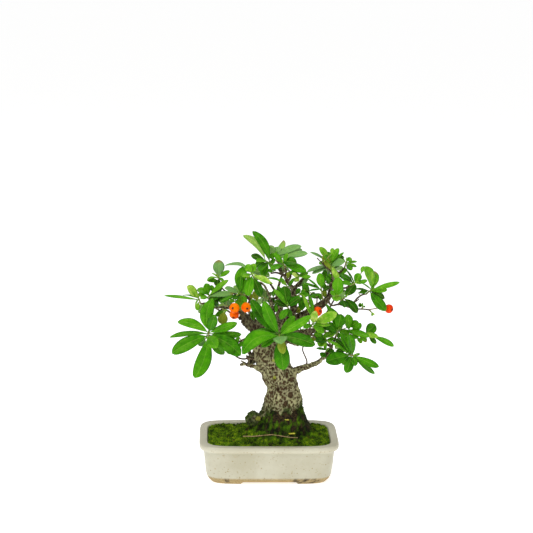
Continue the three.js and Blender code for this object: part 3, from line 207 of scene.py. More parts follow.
# Sprays: the twig as a limb is given, the end of the green shoot, and its leaves from the end down
SPRAYS = {
    "left_low": Spray(
        twig=((-38, 139.6, 2, 1.6), (-42, 136, 2, 1.6), (-46, 130, 4, 1.5), (-48.3, 124, 7, 1.4)),
        tip=(-49.5, 116, 14),
        leaves=(
            (-42.5, 106.5, 20, 11.5, 0.66), (-60.7, 80.5, 6, 12.6, 0.35, -10, 0.06),
            (-79.5, 101.5, 4, 11.6, 0.5, 10, -0.04), (-22.6, 100, 10, 13, 0.4, 0, 0.08),
            (-36.6, 100.8, -4, 8.4, 0.4, 20), (-81.2, 115, -5, 7, 0.6, 50, -0.02),
            (-22.2, 117.8, -6, 6.4, 0.35, 20), (-74.8, 128.7, -6, 8.2, 0.5, 15, -0.08),
            (-25.8, 127.8, 3, 7.2, 0.5, 10), (-44, 134.5, 8, 8.4, 0.35),
            (-46.5, 148.5, 2, 11, 0.5, 5, 0.12),
        ),
    ),
    "left_far": Spray(
        twig=((-39.6, 137.6, 2, 1.6), (-47, 142, 1, 1.4), (-53, 143.6, 0, 1.4), (-56.2, 144.2, -1, 1.2)),
        tip=(-57.6, 149, -1),
        leaves=(
            (-67, 158.6, 3, 8.4, 0.84), (-70.5, 150.8, -9, 5, 0.5, 35), (-60.4, 141, -6, 4.8, 0.85, 10),
            (-85.5, 150.4, -6, 3.4, 0.5, 0, 0.02),
        ),
    ),
    "left_tuft": Spray(
        twig=((-45, 140.8, 1.2, 1.6), (-48, 144, -2, 1.3), (-48.6, 146.4, -3, 1.1)),
        tip=(-49.4, 151.6, -3),
        leaves=(
            (-51.8, 160.8, 2, 7, 0.6, 10), (-58.6, 156.4, -4, 7, 0.7, 10),
            (-33.3, 163.8, 4, 4.8, 0.6, 15), (-38.5, 156.6, -5, 4.8, 0.15),
            (-28.8, 152.3, 5, 5.2, 0.65, 30, 0.03, Tint.SHEEN_GREY), (-56.2, 148.4, 4, 3.8, 0.65),
            (-41, 142, -6, 7, 0.15, 10),
        ),
        small=(
            (-49.5, 146, 4, 6, 0.2, 0, 0, Tint.GREEN, (-37, 152, -4)),
            (-44, 145.5, 2, 6, 0.15, 0, 0, Tint.GREEN, (-37, 152, -5)),
            (-37.5, 144.5, 0, 5, 0.25, 0, 0, Tint.GREEN, (-36.5, 153, -4)),
        ),
    ),
    "left_high": Spray(
        twig=(
            (-15.6, 147, 4, 1.8), (-21, 150.6, 1, 1.4), (-30, 152.6, -1, 1.3), (-36, 154.6, -4, 1.2),
            (-39, 158, -7, 1.2), (-40.4, 162, -9, 1),
        ),
        tip=(-41.6, 167, -9),
        leaves=(
            (-41.3, 180.4, 3, 9.6, 0.55, 8, 0, Tint.SHEEN_GREY_DRIED), (-32.3, 171.4, 3, 4, 0.85, 25),
            (-50.7, 163.4, 4, 4.2, 0.7, 20, -0.18), (-43, 158.6, 5, 5.6, 0.15),
        ),
        small=((-46.7, 169.6, -3, 2.4, 0.6, 30), (-37, 162.4, 3, 2.8, 0.6)),
    ),
    "left_mid": Spray(
        twig=((-21, 134, 5, 2.4), (-18, 141, 4, 2), (-15.8, 148, 4, 1.8), (-19.5, 150.6, 6, 1.4)),
        tip=(-24.4, 152.6, 10),
        leaves=(
            (-36.4, 157, 4, 6, 0.68, 20, 0, Tint.SHEEN_GREY), (-23, 167.5, -2, 5.8, 0.35),
            (-29.4, 147.4, 5, 5.6, 0.3, 10), (-40.4, 144.8, 2, 4.4, 0.4, 20),
            (-20.3, 175.4, -8, 9.4, 0.62, 15, 0.1), (-24, 138, 3, 8.4, 0.6),
            (-17.8, 164.6, 0, 5, 0.5, 10), (-18.6, 144.6, 3, 4.4, 0.45, 10),
        ),
    ),
    "left_olive": Spray(
        twig=(
            (-22, 131, 5, 2.2), (-25.4, 132.4, 5, 1.8), (-29.6, 134.6, 4, 1.6), (-33.4, 137.6, 3, 1.6),
            (-38, 139.8, 2, 1.5),
        ),
        tip=(-36.4, 137.6, 7),
        leaves=((-38.8, 126.6, 2, 8.4, 0.45, 0, 0, Tint.GOLD), (-43.2, 133.4, -1, 4, 0.3)),
    ),
    "crown_left": Spray(
        twig=(
            (5, 125, 3, 4), (4.4, 131, 8, 3.4), (3.4, 137, 9, 3), (2, 143, 10, 2.8), (1, 148, 11, 2.2),
            (-1.4, 154, 12, 1.8), (-4, 159, 13, 1.6), (-7, 161.3, 13, 1.4), (-10.6, 162.4, 14, 1.2),
        ),
        tip=(-15.4, 171, 16),
        leaves=(
            (-36.3, 175.9, -10, 4.8, 0.5, 20, -0.18, Tint.SHEEN_GREY), (-18.6, 176.8, 2, 6.6, 0.8, -15),
            (-12.3, 177.6, -2, 6, 0.78, 10), (-21.8, 166.6, 5, 5, 0.86, 10), (-17.5, 150.3, 6, 8.4, 0.5),
            (1.2, 160.9, 3, 5.2, 0.78, 20, 0.05), (-6.4, 150.2, -8, 7.4, 0.25),
        ),
        small=(
            (3, 160.5, -6, 2.6, 0.85, 20), (3.5, 142.5, 2, 6, 0.15, 0, 0, Tint.GREEN, (0.2, 150.1, 4)),
        ),
    ),
    "crown_mid": Spray(
        twig=((7.5, 173.4, -7, 1.8), (5, 175.6, -7, 1.3), (2.4, 176.6, -7, 1.1)), tip=(-3.6, 180.2, -4.8),
        leaves=(
            (-21.7, 201, -4, 6.4, 0.86, 165, 0.13), (-15, 184.4, 3, 6.6, 0.2, 10),
            (-10.8, 179.3, 8, 6.6, 0.7), (-8.2, 171, 8, 7.3, 0.62, 14), (-6, 166.4, 2, 7.5, 0.45, 2),
            (-13.9, 204.5, 0, 7.5, 0.35, 6, -0.1),
        ),
        small=((5, 171.2, 3, 3, 0.5), (-12, 175.4, -4, 6, 0.4)),
    ),
    "crown_top": Spray(
        twig=((10, 170, -5, 1.9), (8.4, 176, -9, 1.5), (6.4, 179, -10, 1.2)), tip=(4.4, 185, -11),
        leaves=(
            (-1.4, 192.3, -4, 7, 0.82, 0, 0, Tint.SHEEN_GREY), (7.2, 191.5, -6, 7, 0.65, 10, 0, Tint.SHEEN_GREY),
            (11.6, 196.7, -9, 6.6, 0.85, 165), (25.8, 192.3, 2, 6.8, 0.6, 15, 0.04, Tint.SHEEN_GREY),
            (26.5, 189.5, -6, 5.8, 0.6, 20, 0, Tint.SHEEN_GREY), (31, 186.2, 6, 7.2, 0.62, 10, 0, Tint.SHEEN_GREY),
            (0.4, 176.6, 3, 5.2, 0.4),
        ),
    ),
    "crown_right": Spray(
        twig=((12.6, 166.5, -4, 2), (13.6, 171, -4, 1.6), (12.8, 174.4, -4, 1.2)), tip=(10.6, 178.6, -2),
        leaves=(
            (22.2, 178, 6, 8.2, 0.2, 5, 0.06), (30.2, 171.2, 3, 7.6, 0.35, 10, -0.02),
            (14.6, 186.2, 2, 4.2, 0.8), (3.5, 186.4, 0, 5, 0.7), (0.6, 173, 3, 6.4, 0.5, 10),
        ),
    ),
    "crown_inner": Spray(
        twig=((29.5, 166.4, -4, 1.6), (28, 166.8, -2, 1.2)), tip=(23.4, 166.6, 2),
        leaves=(
            (18.6, 169, 2, 4.2, 0.95, 10), (20.6, 162.6, 3, 5, 0.8), (33.8, 166.8, 3, 3.6, 0.7, 20),
            (16.2, 171, -4, 4.4, 0.35, 10),
        ),
    ),
    "leader": Spray(
        twig=((19.8, 151, 0, 2.4), (18, 153.6, 3, 1.3), (16.6, 156, 4, 1.1)), tip=(13.6, 160, 5),
        leaves=((-1.8, 165.3, 2, 3.6, 0.65, 25, -0.12), (20.6, 165.4, 2, 3.4, 0.5, 10)),
        small=((8.6, 166, -6, 3, 0.6, 30),),
    ),
    "leader_right": Spray(
        twig=((20, 147, 1, 2.4), (21.6, 149.4, 4, 1.3), (22.8, 150.4, 6, 1.1)), tip=(25.4, 152, 9),
        leaves=(
            (29.4, 156, -2, 4, 0.55, 20), (32.4, 151.6, 0, 4, 0.4, 20), (27.3, 138.4, 4, 5.4, 0.3),
            (24.2, 147, 4, 4, 0.6),
        ),
    ),
    "mid": Spray(
        twig=((18, 134, 3, 3), (17.6, 136, 9, 1.6), (17, 137.6, 12, 1.4)), tip=(14.8, 142.8, 17),
        leaves=(
            (12, 159, -2, 9.2, 0.3), (3.6, 156, 3, 4.6, 0.7, 10), (25.2, 149.4, 3, 7, 0.4, 15),
            (6.8, 159, -7, 4.6, 0.15, 20), (4, 146.3, -3, 5.8, 0.15, 10), (9.5, 130.8, 8, 6.6, 0.6),
            (17.6, 132.6, 3, 4.6, 0.3, 10),
        ),
    ),
    "front": Spray(
        twig=((7, 122, 6, 4), (8, 124.4, 18, 2.4), (8, 122, 27, 1.8)), tip=(9, 115.6, 38),
        leaves=(
            (10.4, 110, 15, 11.6, 0.62, 0, 0, Tint.SHEEN_GREY), (12.4, 101.6, 8, 6.8, 0.8, 10, 0, Tint.GOLD),
            (12.4, 87.4, 2, 12.6, 0.45), (-21.8, 101.4, 4, 13, 0.5, 8, -0.19),
            (38.6, 109.2, 6, 10.2, 0.38, 10, 0.05), (34.6, 134.2, 2, 7.4, 0.55, 15),
            (-6, 107.4, -5, 6.2, 0.4, 10), (-10.4, 121, -8, 6.4, 0.2, 20),
            (-4.6, 146, 3, 9.2, 0.5, 0, 0.04), (-14.9, 148, -6, 9.6, 0.3, 10, 0.08),
            (21.3, 133.7, -7, 6.6, 0.5, 20), (13.8, 122, -8, 3.8, 0.3),
        ),
    ),
    "mid_right": Spray(
        twig=((33.4, 121, 12, 1.7), (34.2, 124, 14, 1.4)), tip=(37.6, 130, 21),
        leaves=(
            (28, 151.2, -7, 3.8, 0.9, 15, 0.06), (32.4, 152.4, -11, 3.6, 0.25, 20),
            (33, 140.4, -3, 3.8, 0.6, 10), (56, 136.4, 3, 8.8, 0.92, 5, -0.06), (38.4, 138, 6, 6.6, 0.95),
            (50.2, 126, 4, 4.4, 0.8, 10), (45.2, 119, 5, 6.4, 0.7), (28.6, 123.4, 3, 5, 0.4, 10),
        ),
        small=((44.8, 122.6, 3, 3.5, 0.75, 0, 0, Tint.GOLD, (34.3, 124.6, 14.3)),),
    ),
    "right_inner": Spray(
        twig=((53, 110.4, 5, 2.2), (54.4, 114, 6, 1.7), (55.2, 116.6, 7, 1.5)), tip=(56.8, 122.4, 10),
        leaves=(
            (59.2, 135.4, 0, 9.8, 0.3, 10), (47, 143.8, -8, 5.8, 0.45, 20), (48.4, 127.4, 2, 7.4, 0.25),
            (45, 115.8, 5, 6.8, 0.65, 10),
        ),
        small=(
            (49.6, 127.4, 3, 5.5, 0.3, 0, 0, Tint.GREEN, (56.3, 120.7, 7)),
            (60.5, 128.4, 2, 5, 0.35, 0, 0, Tint.GREEN, (56.3, 120.7, 7)),
            (48.4, 118.6, 3, 4.6, 0.4, 0, 0, Tint.GREEN, (56.3, 120.7, 8)),
        ),
    ),
    "right_yellow": Spray(
        twig=((51.6, 107, 5, 2), (50.8, 109.6, 8, 1.4), (50, 111, 9, 1.2)), tip=(46.8, 114.6, 12),
        leaves=((41.6, 107.8, 5, 7.2, 0.85), (37.4, 118.6, -2, 6, 0.5, 10), (38.6, 112, -5, 6, 0.35)),
        small=(
            (46.6, 104.6, -2, 3, 0.7), (45.5, 121.5, 2, 5, 0.35, 0, 0, Tint.GREEN, (36.5, 117.5, 8)),
            (43.5, 113.8, 3, 5, 0.3, 0, 0, Tint.GREEN, (36.5, 117.5, 7)),
            (29.5, 113, 0, 5, 0.12, 0, 0, Tint.GREEN, (36, 118, 7)),
        ),
    ),
    "right_fan": Spray(
        twig=((55, 115.6, 6, 1.8), (57, 120.8, 1, 1.5), (60.6, 122.5, -2, 1.3)),
        tip=(85.4, 117.2, 2), spread=0.96,
        leaves=(
            (103.6, 108, -4, 5, 0.4, 35, 0.05), (88.7, 110.4, 3, 4.2, 0.45, 30),
            (87.6, 126.6, -3, 9, 0.3), (90.4, 116, 6, 5, 0.78), (80.6, 111.6, 5, 5, 0.65),
            (71, 114.4, 4, 6, 0.4), (75.8, 127.6, 3, 6.2, 0.5, 10), (64.4, 135.2, -2, 8.2, 0.5),
            (83, 116, 3, 6.2, 0.45),
        ),
    ),
    "right_low": Spray(
        twig=((49.4, 102.4, 5, 2.4), (57, 101.6, 9, 1.8), (64, 101, 12, 1.5)), tip=(70.8, 100, 16),
        leaves=(
            (91.6, 90.4, 4, 6.4, 0.32, 10, -0.02), (88.2, 84.4, -6, 4.6, 0.25, 35),
            (72, 91.2, 5, 5.6, 0.4), (66, 118.4, 4, 7.8, 0.5), (64.5, 85.3, 6, 8.2, 0.35),
            (58.6, 119.4, -2, 7, 0.45, 10), (61, 92.3, -3, 4.6, 0.6), (54, 115, -6, 4.8, 0.2, 20),
            (47.4, 95, 4, 11.6, 0.22, 5), (48.4, 113, -2, 3.6, 0.7, 25),
        ),
        small=((75.7, 101.6, -5, 2.4, 0.6, 20),),
    ),
    "right_small": Spray(
        twig=((45, 98, 6, 2.2), (45.6, 100.4, 9, 1.3)), tip=(48, 104.6, 10),
        leaves=((39.4, 106, 2, 3.8, 0.3, 15), (54.4, 104.2, -3, 4, 0.15), (43.8, 98.8, 4, 6, 0.35)),
    ),
    "inner_right": Spray(
        twig=((43, 144, 2, 2.2), (44, 147.4, 5, 1.4)), tip=(42.4, 158, 6),
        leaves=(
            (41, 169.8, 3, 7, 0.5), (27.8, 161.3, 2, 4, 0.4, 20), (49.4, 158.8, -3, 3.8, 0.2),
            (34.2, 150, 3, 5, 0.4, 20),
        ),
        small=(
            (31.4, 165.2, 0, 2.8, 0.4, 30), (32.8, 154.8, 4, 3, 0.5, 20),
            (58.4, 129.6, 5, 6, 0.22, 0, 0, Tint.GREEN, (46.6, 142.6, 3)),
        ),
    ),
    "inner_left": Spray(
        twig=((33.8, 121.6, 12, 1.4), (33, 130, 8, 1.2), (32.4, 138, 5, 1.2), (32.8, 143.4, 3, 1)),
        tip=(32.4, 150.6, 1),
        leaves=(
            (28, 160.8, -3, 6, 0.2), (37.2, 153.8, -3, 3.4, 0.2, 10), (28.6, 147.4, -2, 3.4, 0.4, 10),
        ),
    ),
    "right_top": Spray(
        twig=((54, 168, -7, 3), (51.8, 170.8, -8, 1.6), (51.2, 172, -8, 1.3)), tip=(49.6, 179, -8),
        leaves=(
            (40.4, 191.5, 0, 6.2, 0.88, 10), (47, 187.7, -4, 5.8, 0.6), (56, 190.6, -3, 5.4, 0.85, 5),
            (60.8, 183.2, 2, 6.4, 0.35, 10, 0.18), (33, 187.1, 2, 4.8, 0.4, 25, 0, Tint.SHEEN_GREY),
            (44, 183.4, 5, 8, 0.6), (40.2, 178.6, -5, 6.4, 0.5, 10),
            (61, 179.4, 7, 7.4, 0.62, 10, 0, Tint.SHEEN_GREY),
            (30.6, 170.7, 3, 5.6, 0.25, 20, -0.02, Tint.SHEEN_GREY), (56.7, 162.8, 6, 5.2, 0.85),
            (34.8, 169.3, 8, 4.6, 0.6, 0, 0, Tint.SHEEN_GREY), (48.4, 159.3, 3, 5.2, 0.2),
        ),
        small=(
            (60.4, 187.2, -2, 3, 0.6, 10), (52, 186.6, -3, 3.4, 0.5, 10),
            (43.4, 184.6, 2, 6.4, 0.6, 0, 0, Tint.GOLD, (49.8, 171.8, -5.2)),
        ),
    ),
    "right_tuft": Spray(
        twig=((55, 169.6, -8, 2.2), (58.6, 171.4, -9, 1.6), (61.2, 174.4, -9, 1.2)), tip=(62.8, 180, -9),
        leaves=((66.8, 182.4, -2, 4.6, 0.8), (57.6, 182.4, 3, 3.2, 0.7), (67.4, 172.6, 4, 5.2, 0.4)),
        small=(
            (71.3, 179.6, -5, 2.2, 0.7, 30), (71.2, 175.3, -2, 2.8, 0.6, 30),
            (64.5, 163, 3, 5, 0.4, 0, 0, Tint.GREEN, (55, 170, -8)),
            (55.4, 160, 0, 5, 0.3, 0, 0, Tint.GREEN, (54.6, 170, -8)),
        ),
    ),
    "right_bud": Spray(
        twig=((50, 156.6, -1, 2.2), (56, 157, 3, 1.8), (62, 157.4, 7, 1.6), (66, 159.6, 9, 1.3)),
        tip=(70.8, 162, 11),
        leaves=(
            (80.2, 163.7, -3, 3.6, 0.6, 35), (73.8, 169.7, -2, 6.6, 0.6), (62.4, 172.7, -3, 3.6, 0.4, 35),
            (58, 168.7, -7, 5.8, 0.15, 10), (59, 161.6, 4, 5, 0.6, 5),
        ),
    ),
    "right_front": Spray(
        twig=((49.4, 151, 1, 2.2), (51.4, 149.8, 12, 1.6), (53.2, 148.8, 20, 1.3)), tip=(55.4, 151.4, 29),
        leaves=(
            (56.5, 166.3, 4, 9.2, 0.66), (55.6, 146, 10, 8.2, 0.68), (50.3, 155, -4, 4.2, 0.6, 10),
            (59.4, 160.3, -7, 6.6, 0.5, 10),
        ),
    ),
    "right_pair": Spray(
        twig=((56.6, 143.4, -2, 1.8), (58.4, 145.8, 3, 1.3)), tip=(62.2, 150, 8),
        leaves=(
            (70.2, 161, -3, 8, 0.22, 10), (72.8, 136.5, 3, 6.8, 0.35, 10, 0.05),
            (62, 141.2, 4, 7.4, 0.25),
        ),
    ),
    "far_right": Spray(
        twig=(
            (62, 142.3, -4, 1.7), (66.6, 143, -5, 1.6), (69.4, 145.2, -5, 1.6), (72, 148.6, -6, 1.6),
            (76, 151.6, -7, 1.4), (79.6, 152.4, -7, 1.2),
        ),
        tip=(84, 156.6, -7),
        leaves=(
            (77, 175.4, 2, 11.2, 0.8, 8, -0.1), (86.4, 171.6, -6, 8.8, 0.6, 10),
            (106.7, 162.4, 2, 4.6, 0.62, 45, 0.03), (96.7, 156, 0, 4.6, 0.6, 25),
            (94.7, 148.7, -2, 5.8, 0.25, 10), (96, 138.2, 6, 10.2, 0.5, 0, -0.07),
            (70.2, 156.6, 2, 3.8, 0.3, 25),
        ),
        small=((76, 161.3, -4, 2.4, 0.6, 20),),
    ),
    "round": Spray(
        twig=((75.6, 139.7, -8, 1.4), (76.6, 140.5, -5, 1)), tip=(76.9, 142.2, -3),
        leaves=((73.2, 143.4, 0, 4.2, 0.35),),
        small=((79, 142, 0, 1.8, 0.4),),
    ),
    "spur": Spray(
        twig=((80, 139.4, -8.6, 1.3), (82.6, 138.8, -6, 1)), tip=(84.6, 136.4, -5),
        leaves=((85.3, 134, 0, 2.2, 0.85),),
    ),
}

# Sprays of the back: the twig and the end of the shoot
BACK_SPRAYS = tuple(Spray(twig, tip, back=True) for twig, tip in (
    (((-24, 137.6, -32, 2.6), (-33, 141.4, -40, 1.6)), (-38, 143, -47)),
    (((-24, 137.6, -32, 2.6), (-38, 141, -27, 1.6), (-46, 140, -28, 1.3)), (-50, 138, -34)),
    (((-6, 124, -14, 3), (-16, 116, -22, 2), (-28, 110, -24, 1.5)), (-33, 109, -31)),
    (((-14, 130, -24, 3), (-18, 143, -30, 2), (-22, 151, -34, 1.4)), (-24, 155, -41)),
    (((6.4, 152, -33, 2.4), (0, 162, -36, 1.8), (-4, 168, -38, 1.3)), (-7, 171, -45)),
    (((6.4, 149, -30, 2.4), (0, 147, -33, 1.6)), (-5, 150, -40)),
    (((6.2, 153, -33, 2.6), (9, 164, -34, 2), (12, 172, -34, 1.4)), (14, 177, -40)),
    (((8.8, 140, -24, 3), (11, 146, -34, 1.6)), (12, 149, -43)),
    (((20, 118, -16, 3), (22, 116, -28, 1.8), (24, 115, -36, 1.4)), (26, 115, -45)),
    (((44, 121.8, -34, 2.4), (52, 116, -34, 1.6), (58, 111, -33, 1.3)), (62, 110, -40)),
    (((38, 121.4, -30, 2.6), (46, 134, -32, 1.8), (53, 147, -34, 1.4)), (56, 154, -40)),
    (((49.5, 158, -3, 2.2), (51, 165, -18, 1.6), (51, 170, -28, 1.3)), (52, 174, -36)),
))

# Single leaves that fill the gaps between the sprays: the across and up of the root and of the
# tip, the width, tone (partly painted light and shade), lean and tint
SINGLES = tuple(single_leaf(*row) for row in (
    (57.5, 121, 66.5, 117.6, 6.4, 0.55), (-9.6, 146.4, -12.6, 154.4, 6, 0.45, 1.5, Tint.GOLD),
    (52, 121.6, 43.6, 126.2, 6, 0.35), (-41, 162.6, -51, 163.8, 4.2, 0.6),
    (44.9, 162.4, 45.3, 172.6, 5, 0.35), (66, 124.6, 73.8, 128.8, 6.6, 0.5),
    (-51.6, 114.6, -57.6, 108.2, 6, 0.6, 1.5, Tint.SHEEN_GREY), (-57.6, 145, -58.8, 138, 4.2, 0.95),
    (24.8, 158.2, 31.6, 165.6, 3.8, 0.6, 1.5, Tint.SHEEN_GREY),
    (21.6, 135.8, 26.8, 141.8, 5.2, 0.3, 1.5, Tint.GOLD), (57.6, 169.6, 63.4, 173.2, 4.6, 0.62),
    (3.6, 180.8, 0.4, 185.6, 4.2, 0.72), (45.6, 148.8, 45.4, 156.2, 3.8, 0.45, 1.5, Tint.GOLD),
    (22, 151.8, 25.2, 156.8, 4.2, 0.42), (23.6, 168, 31.8, 169.8, 3.6, 0.6),
    (5.4, 144.8, 5.4, 136.6, 4, 0.3), (48.9, 161.2, 49.5, 169.8, 3.8, 0.5),
    (73, 153.4, 80.4, 154.8, 3.8, 0.5), (64.4, 104.4, 55.6, 103.8, 4.2, 0.3),
    (15, 164.8, 15.6, 170.8, 3.6, 0.4, 1.5, Tint.GOLD), (-51.6, 150.4, -58.8, 151.6, 3.6, 0.65),
    (3.4, 149.2, 3.6, 155.2, 3.2, 0.5), (3.4, 171, -1.8, 171.8, 3.4, 0.5),
    (-20.6, 112.2, -24.4, 107.2, 3.6, 0.45), (-27.6, 145.8, -32.4, 146.6, 3.6, 0.55),
    (-46, 153.6, -47.2, 159.4, 3.6, 0.55), (47.6, 113.4, 54, 114.2, 3.4, 0.6),
    (27.6, 138.6, 27.2, 150, 6.4, 0.45, 8), (45.6, 151, 34.8, 149.6, 5, 0.35, 3),
    (32, 154.6, 27.6, 160.4, 5, 0.4, 2), (45.4, 159.6, 41, 169.6, 5.4, 0.55, 2, Tint.GOLD),
    (50.4, 159.6, 46.4, 167.2, 5, 0.35, 2), (20.6, 141.6, 15, 150.4, 6, 0.3, 6),
    (72.6, 115.6, 77, 110.8, 3.8, 0.7), (57.2, 120.4, 57.8, 114.8, 3.2, 0.3),
    (34.6, 115.8, 38.8, 113, 3.4, 0.4, 1.5, Tint.GOLD), (-12.4, 129.4, -13.6, 138.4, 4.6, 0.62, 3),
    (-24.6, 116.6, -26.2, 111.4, 3.4, 0.45), (-14.2, 147.2, -15.4, 152.4, 3.6, 0.4, 1.5, Tint.GOLD),
    (-16.6, 163.4, -18.2, 168.2, 3.8, 0.72), (50.2, 185.6, 51.4, 190.6, 3.6, 0.82),
    (75, 170, 76.8, 175.6, 3.4, 0.68), (42, 146.8, 41.8, 152.2, 3.6, 0.3),
    (44.8, 155.8, 44.4, 161.8, 4, 0.4),
))


# Places and shapes


def unit(vector: np.ndarray) -> np.ndarray:
    """Returns the vector, or each row of an array, at length one."""
    return vector / np.maximum(np.linalg.norm(vector, axis=-1, keepdims=True), 1e-9)


def place(across: float, up: float, near: float) -> np.ndarray:
    """Returns the point in the pot's frame that is seen at across and up, near mm nearer the viewer."""
    point = np.array((across - POT_MIDDLE_X, 0.0, up + DRAWING_BASE))
    return point + near * unit(EYE - point)


def smooth_step(low: float, high: float, value: np.ndarray) -> np.ndarray:
    """Returns 0 below low, 1 above high, and 3t^2 - 2t^3 of the share t between them."""
    share = np.clip((value - low) / (high - low), 0, 1)
    return share * share * (3 - 2 * share)


def lattice_value(cells: np.ndarray, seed: int) -> np.ndarray:
    """Returns a repeatable number from 0 to 1 for each whole-number cell.

    Args:
        cells: whole numbers, shape (..., 3).
        seed: another seed gives other numbers.
    """
    x, y, z = (cells[..., k].astype(np.int64) for k in range(3))
    mixed = (x * 374761393 + y * 668265263 + z * 1274126177 + seed * 362437) & 0xFFFFFFFF
    mixed = ((mixed ^ (mixed >> 13)) * 1274126177) & 0xFFFFFFFF
    return ((mixed ^ (mixed >> 16)) & 0xFFFFFF) / 0xFFFFFF


def noise(points: np.ndarray, size: float, seed: int) -> np.ndarray:
    """Returns smooth noise from -1 to 1: lattice values blended by 3t^2 - 2t^3 along each axis.

    Args:
        points: places in mm, shape (n, 3).
        size: the lattice's spacing in mm.
        seed: another seed gives another pattern.
    """
    scaled = points / size
    base = np.floor(scaled)
    share = scaled - base
    share = share * share * (3 - 2 * share)
    total = np.zeros(len(points))
    for corner in np.ndindex(2, 2, 2):
        offset = np.array(corner)
        weight = np.prod(np.where(offset, share, 1 - share), axis=1)
        total += weight * lattice_value(base + offset, seed)
    return 2 * total - 1


def layered_noise(points: np.ndarray, size: float, seed: int, layers: int = 3) -> np.ndarray:
    """Returns a sum of noises, each at half the size and half the height of the one before."""
    return sum(noise(points, size / 2**k, seed + k) / 2**k for k in range(layers)) / 1.6


def drawn_noise(points: np.ndarray, share: float, size: float, seed: int) -> np.ndarray:
    """Returns two layers of noise drawn out upwards, by counting heights at a share."""
    return layered_noise(points * np.array((1, 1, share)), size, seed, 2)


def cell_spots(points: np.ndarray, size: float, seed: int) -> tuple[np.ndarray, np.ndarray]:
    """Finds the nearest of the spots scattered one to a cell.

    Args:
        points: places in mm, shape (n, 3).
        size: the cells' side in mm.
        seed: another seed gives other spots.

    Returns:
        The distance to the nearest spot as a share of the side, and that spot's own number 0 to 1.
    """
    scaled = points / size
    base = np.floor(scaled)
    nearest = np.full(len(points), 9.0)
    own = np.zeros(len(points))
    for corner in np.ndindex(3, 3, 3):
        cell = base + np.array(corner) - 1
        spot = cell + np.stack([lattice_value(cell, seed + k) for k in range(3)], axis=-1)
        distance = np.linalg.norm(scaled - spot, axis=1)
        closer = distance < nearest
        nearest = np.where(closer, distance, nearest)
        own = np.where(closer, lattice_value(cell, seed + 7), own)
    return nearest, own


def in_spots(points: np.ndarray, spots: tuple, core: float,
             ragged: np.ndarray | float = 0.0) -> np.ndarray:
    """Returns 1 in the core of each spot on the tree, falling to 0 at its reach.

    Args:
        points: places in mm, shape (n, 3).
        spots: rows of across, up and reach.
        core: the core's radius as a share of the reach.
        ragged: added to the distance from a spot's middle, in mm.
    """
    total = np.zeros(len(points))
    for across, up, reach in spots:
        gap = np.hypot(points[:, 0] + POT_MIDDLE_X - across, points[:, 2] - DRAWING_BASE - up) + ragged
        total = np.maximum(total, smooth_step(reach, core * reach, gap))
    return total


def full_turn(count: int) -> np.ndarray:
    """Returns angles that go once round in even steps."""
    return np.linspace(0, 2 * np.pi, count, endpoint=False)


def catmull_rom(points: np.ndarray, steps: int) -> np.ndarray:
    """Returns a smooth curve through the points, with steps pieces between each two.

    The curve between two points is the Catmull-Rom cubic of them and their neighbours; past
    the ends the first and last points are mirrored.
    """
    padded = np.vstack((2 * points[0] - points[1], points, 2 * points[-1] - points[-2]))
    t = np.linspace(0, 1, steps, endpoint=False)[:, None]
    pieces = []
    for a, b, c, d in zip(padded, padded[1:], padded[2:], padded[3:]):
        cubic = -a + 3 * b - 3 * c + d
        square = 2 * a - 5 * b + 4 * c - d
        pieces.append(0.5 * (2 * b + (c - a) * t + square * t**2 + cubic * t**3))
    return np.vstack((*pieces, points[-1:]))


@dataclass
class Surface:
    """Points in mm with faces of four corners, or three where the last is -1.

    values holds one number a point by name, slots one material slot a face.
    """

    points: np.ndarray
    faces: np.ndarray
    values: dict = field(default_factory=dict)
    slots: np.ndarray | None = None
    uv: np.ndarray | None = None

    def face_slots(self) -> np.ndarray:
        """Returns each face's material slot."""
        return np.zeros(len(self.faces), np.int32) if self.slots is None else self.slots

    def plain(self, names: dict | tuple, slot: int) -> "Surface":
        """Sets the named values to zero and every face to one slot, and returns the surface."""
        self.values = {name: np.zeros(len(self.points)) for name in names}
        self.slots = np.full(len(self.faces), slot, np.int32)
        return self

    def volume(self) -> float:
        """Returns the volume inside, negative where the faces point inwards."""
        first, second, third = (self.points[self.faces[:, k]] for k in range(3))
        total = np.einsum("ij,ij->", first, np.cross(second, third))
        quads = self.faces[:, 3] >= 0
        fourth = self.points[self.faces[quads, 3]]
        return (total + np.einsum("ij,ij->", first[quads], np.cross(third[quads], fourth))) / 6

    def outward(self) -> "Surface":
        """Turns every face round where the surface is inside out, and returns it."""
        if self.volume() < 0:
            triangle = self.faces[:, 3] < 0
            turned = self.faces[:, ::-1].copy()
            turned[triangle] = self.faces[triangle][:, (2, 1, 0, 3)]
            self.faces = turned
        return self


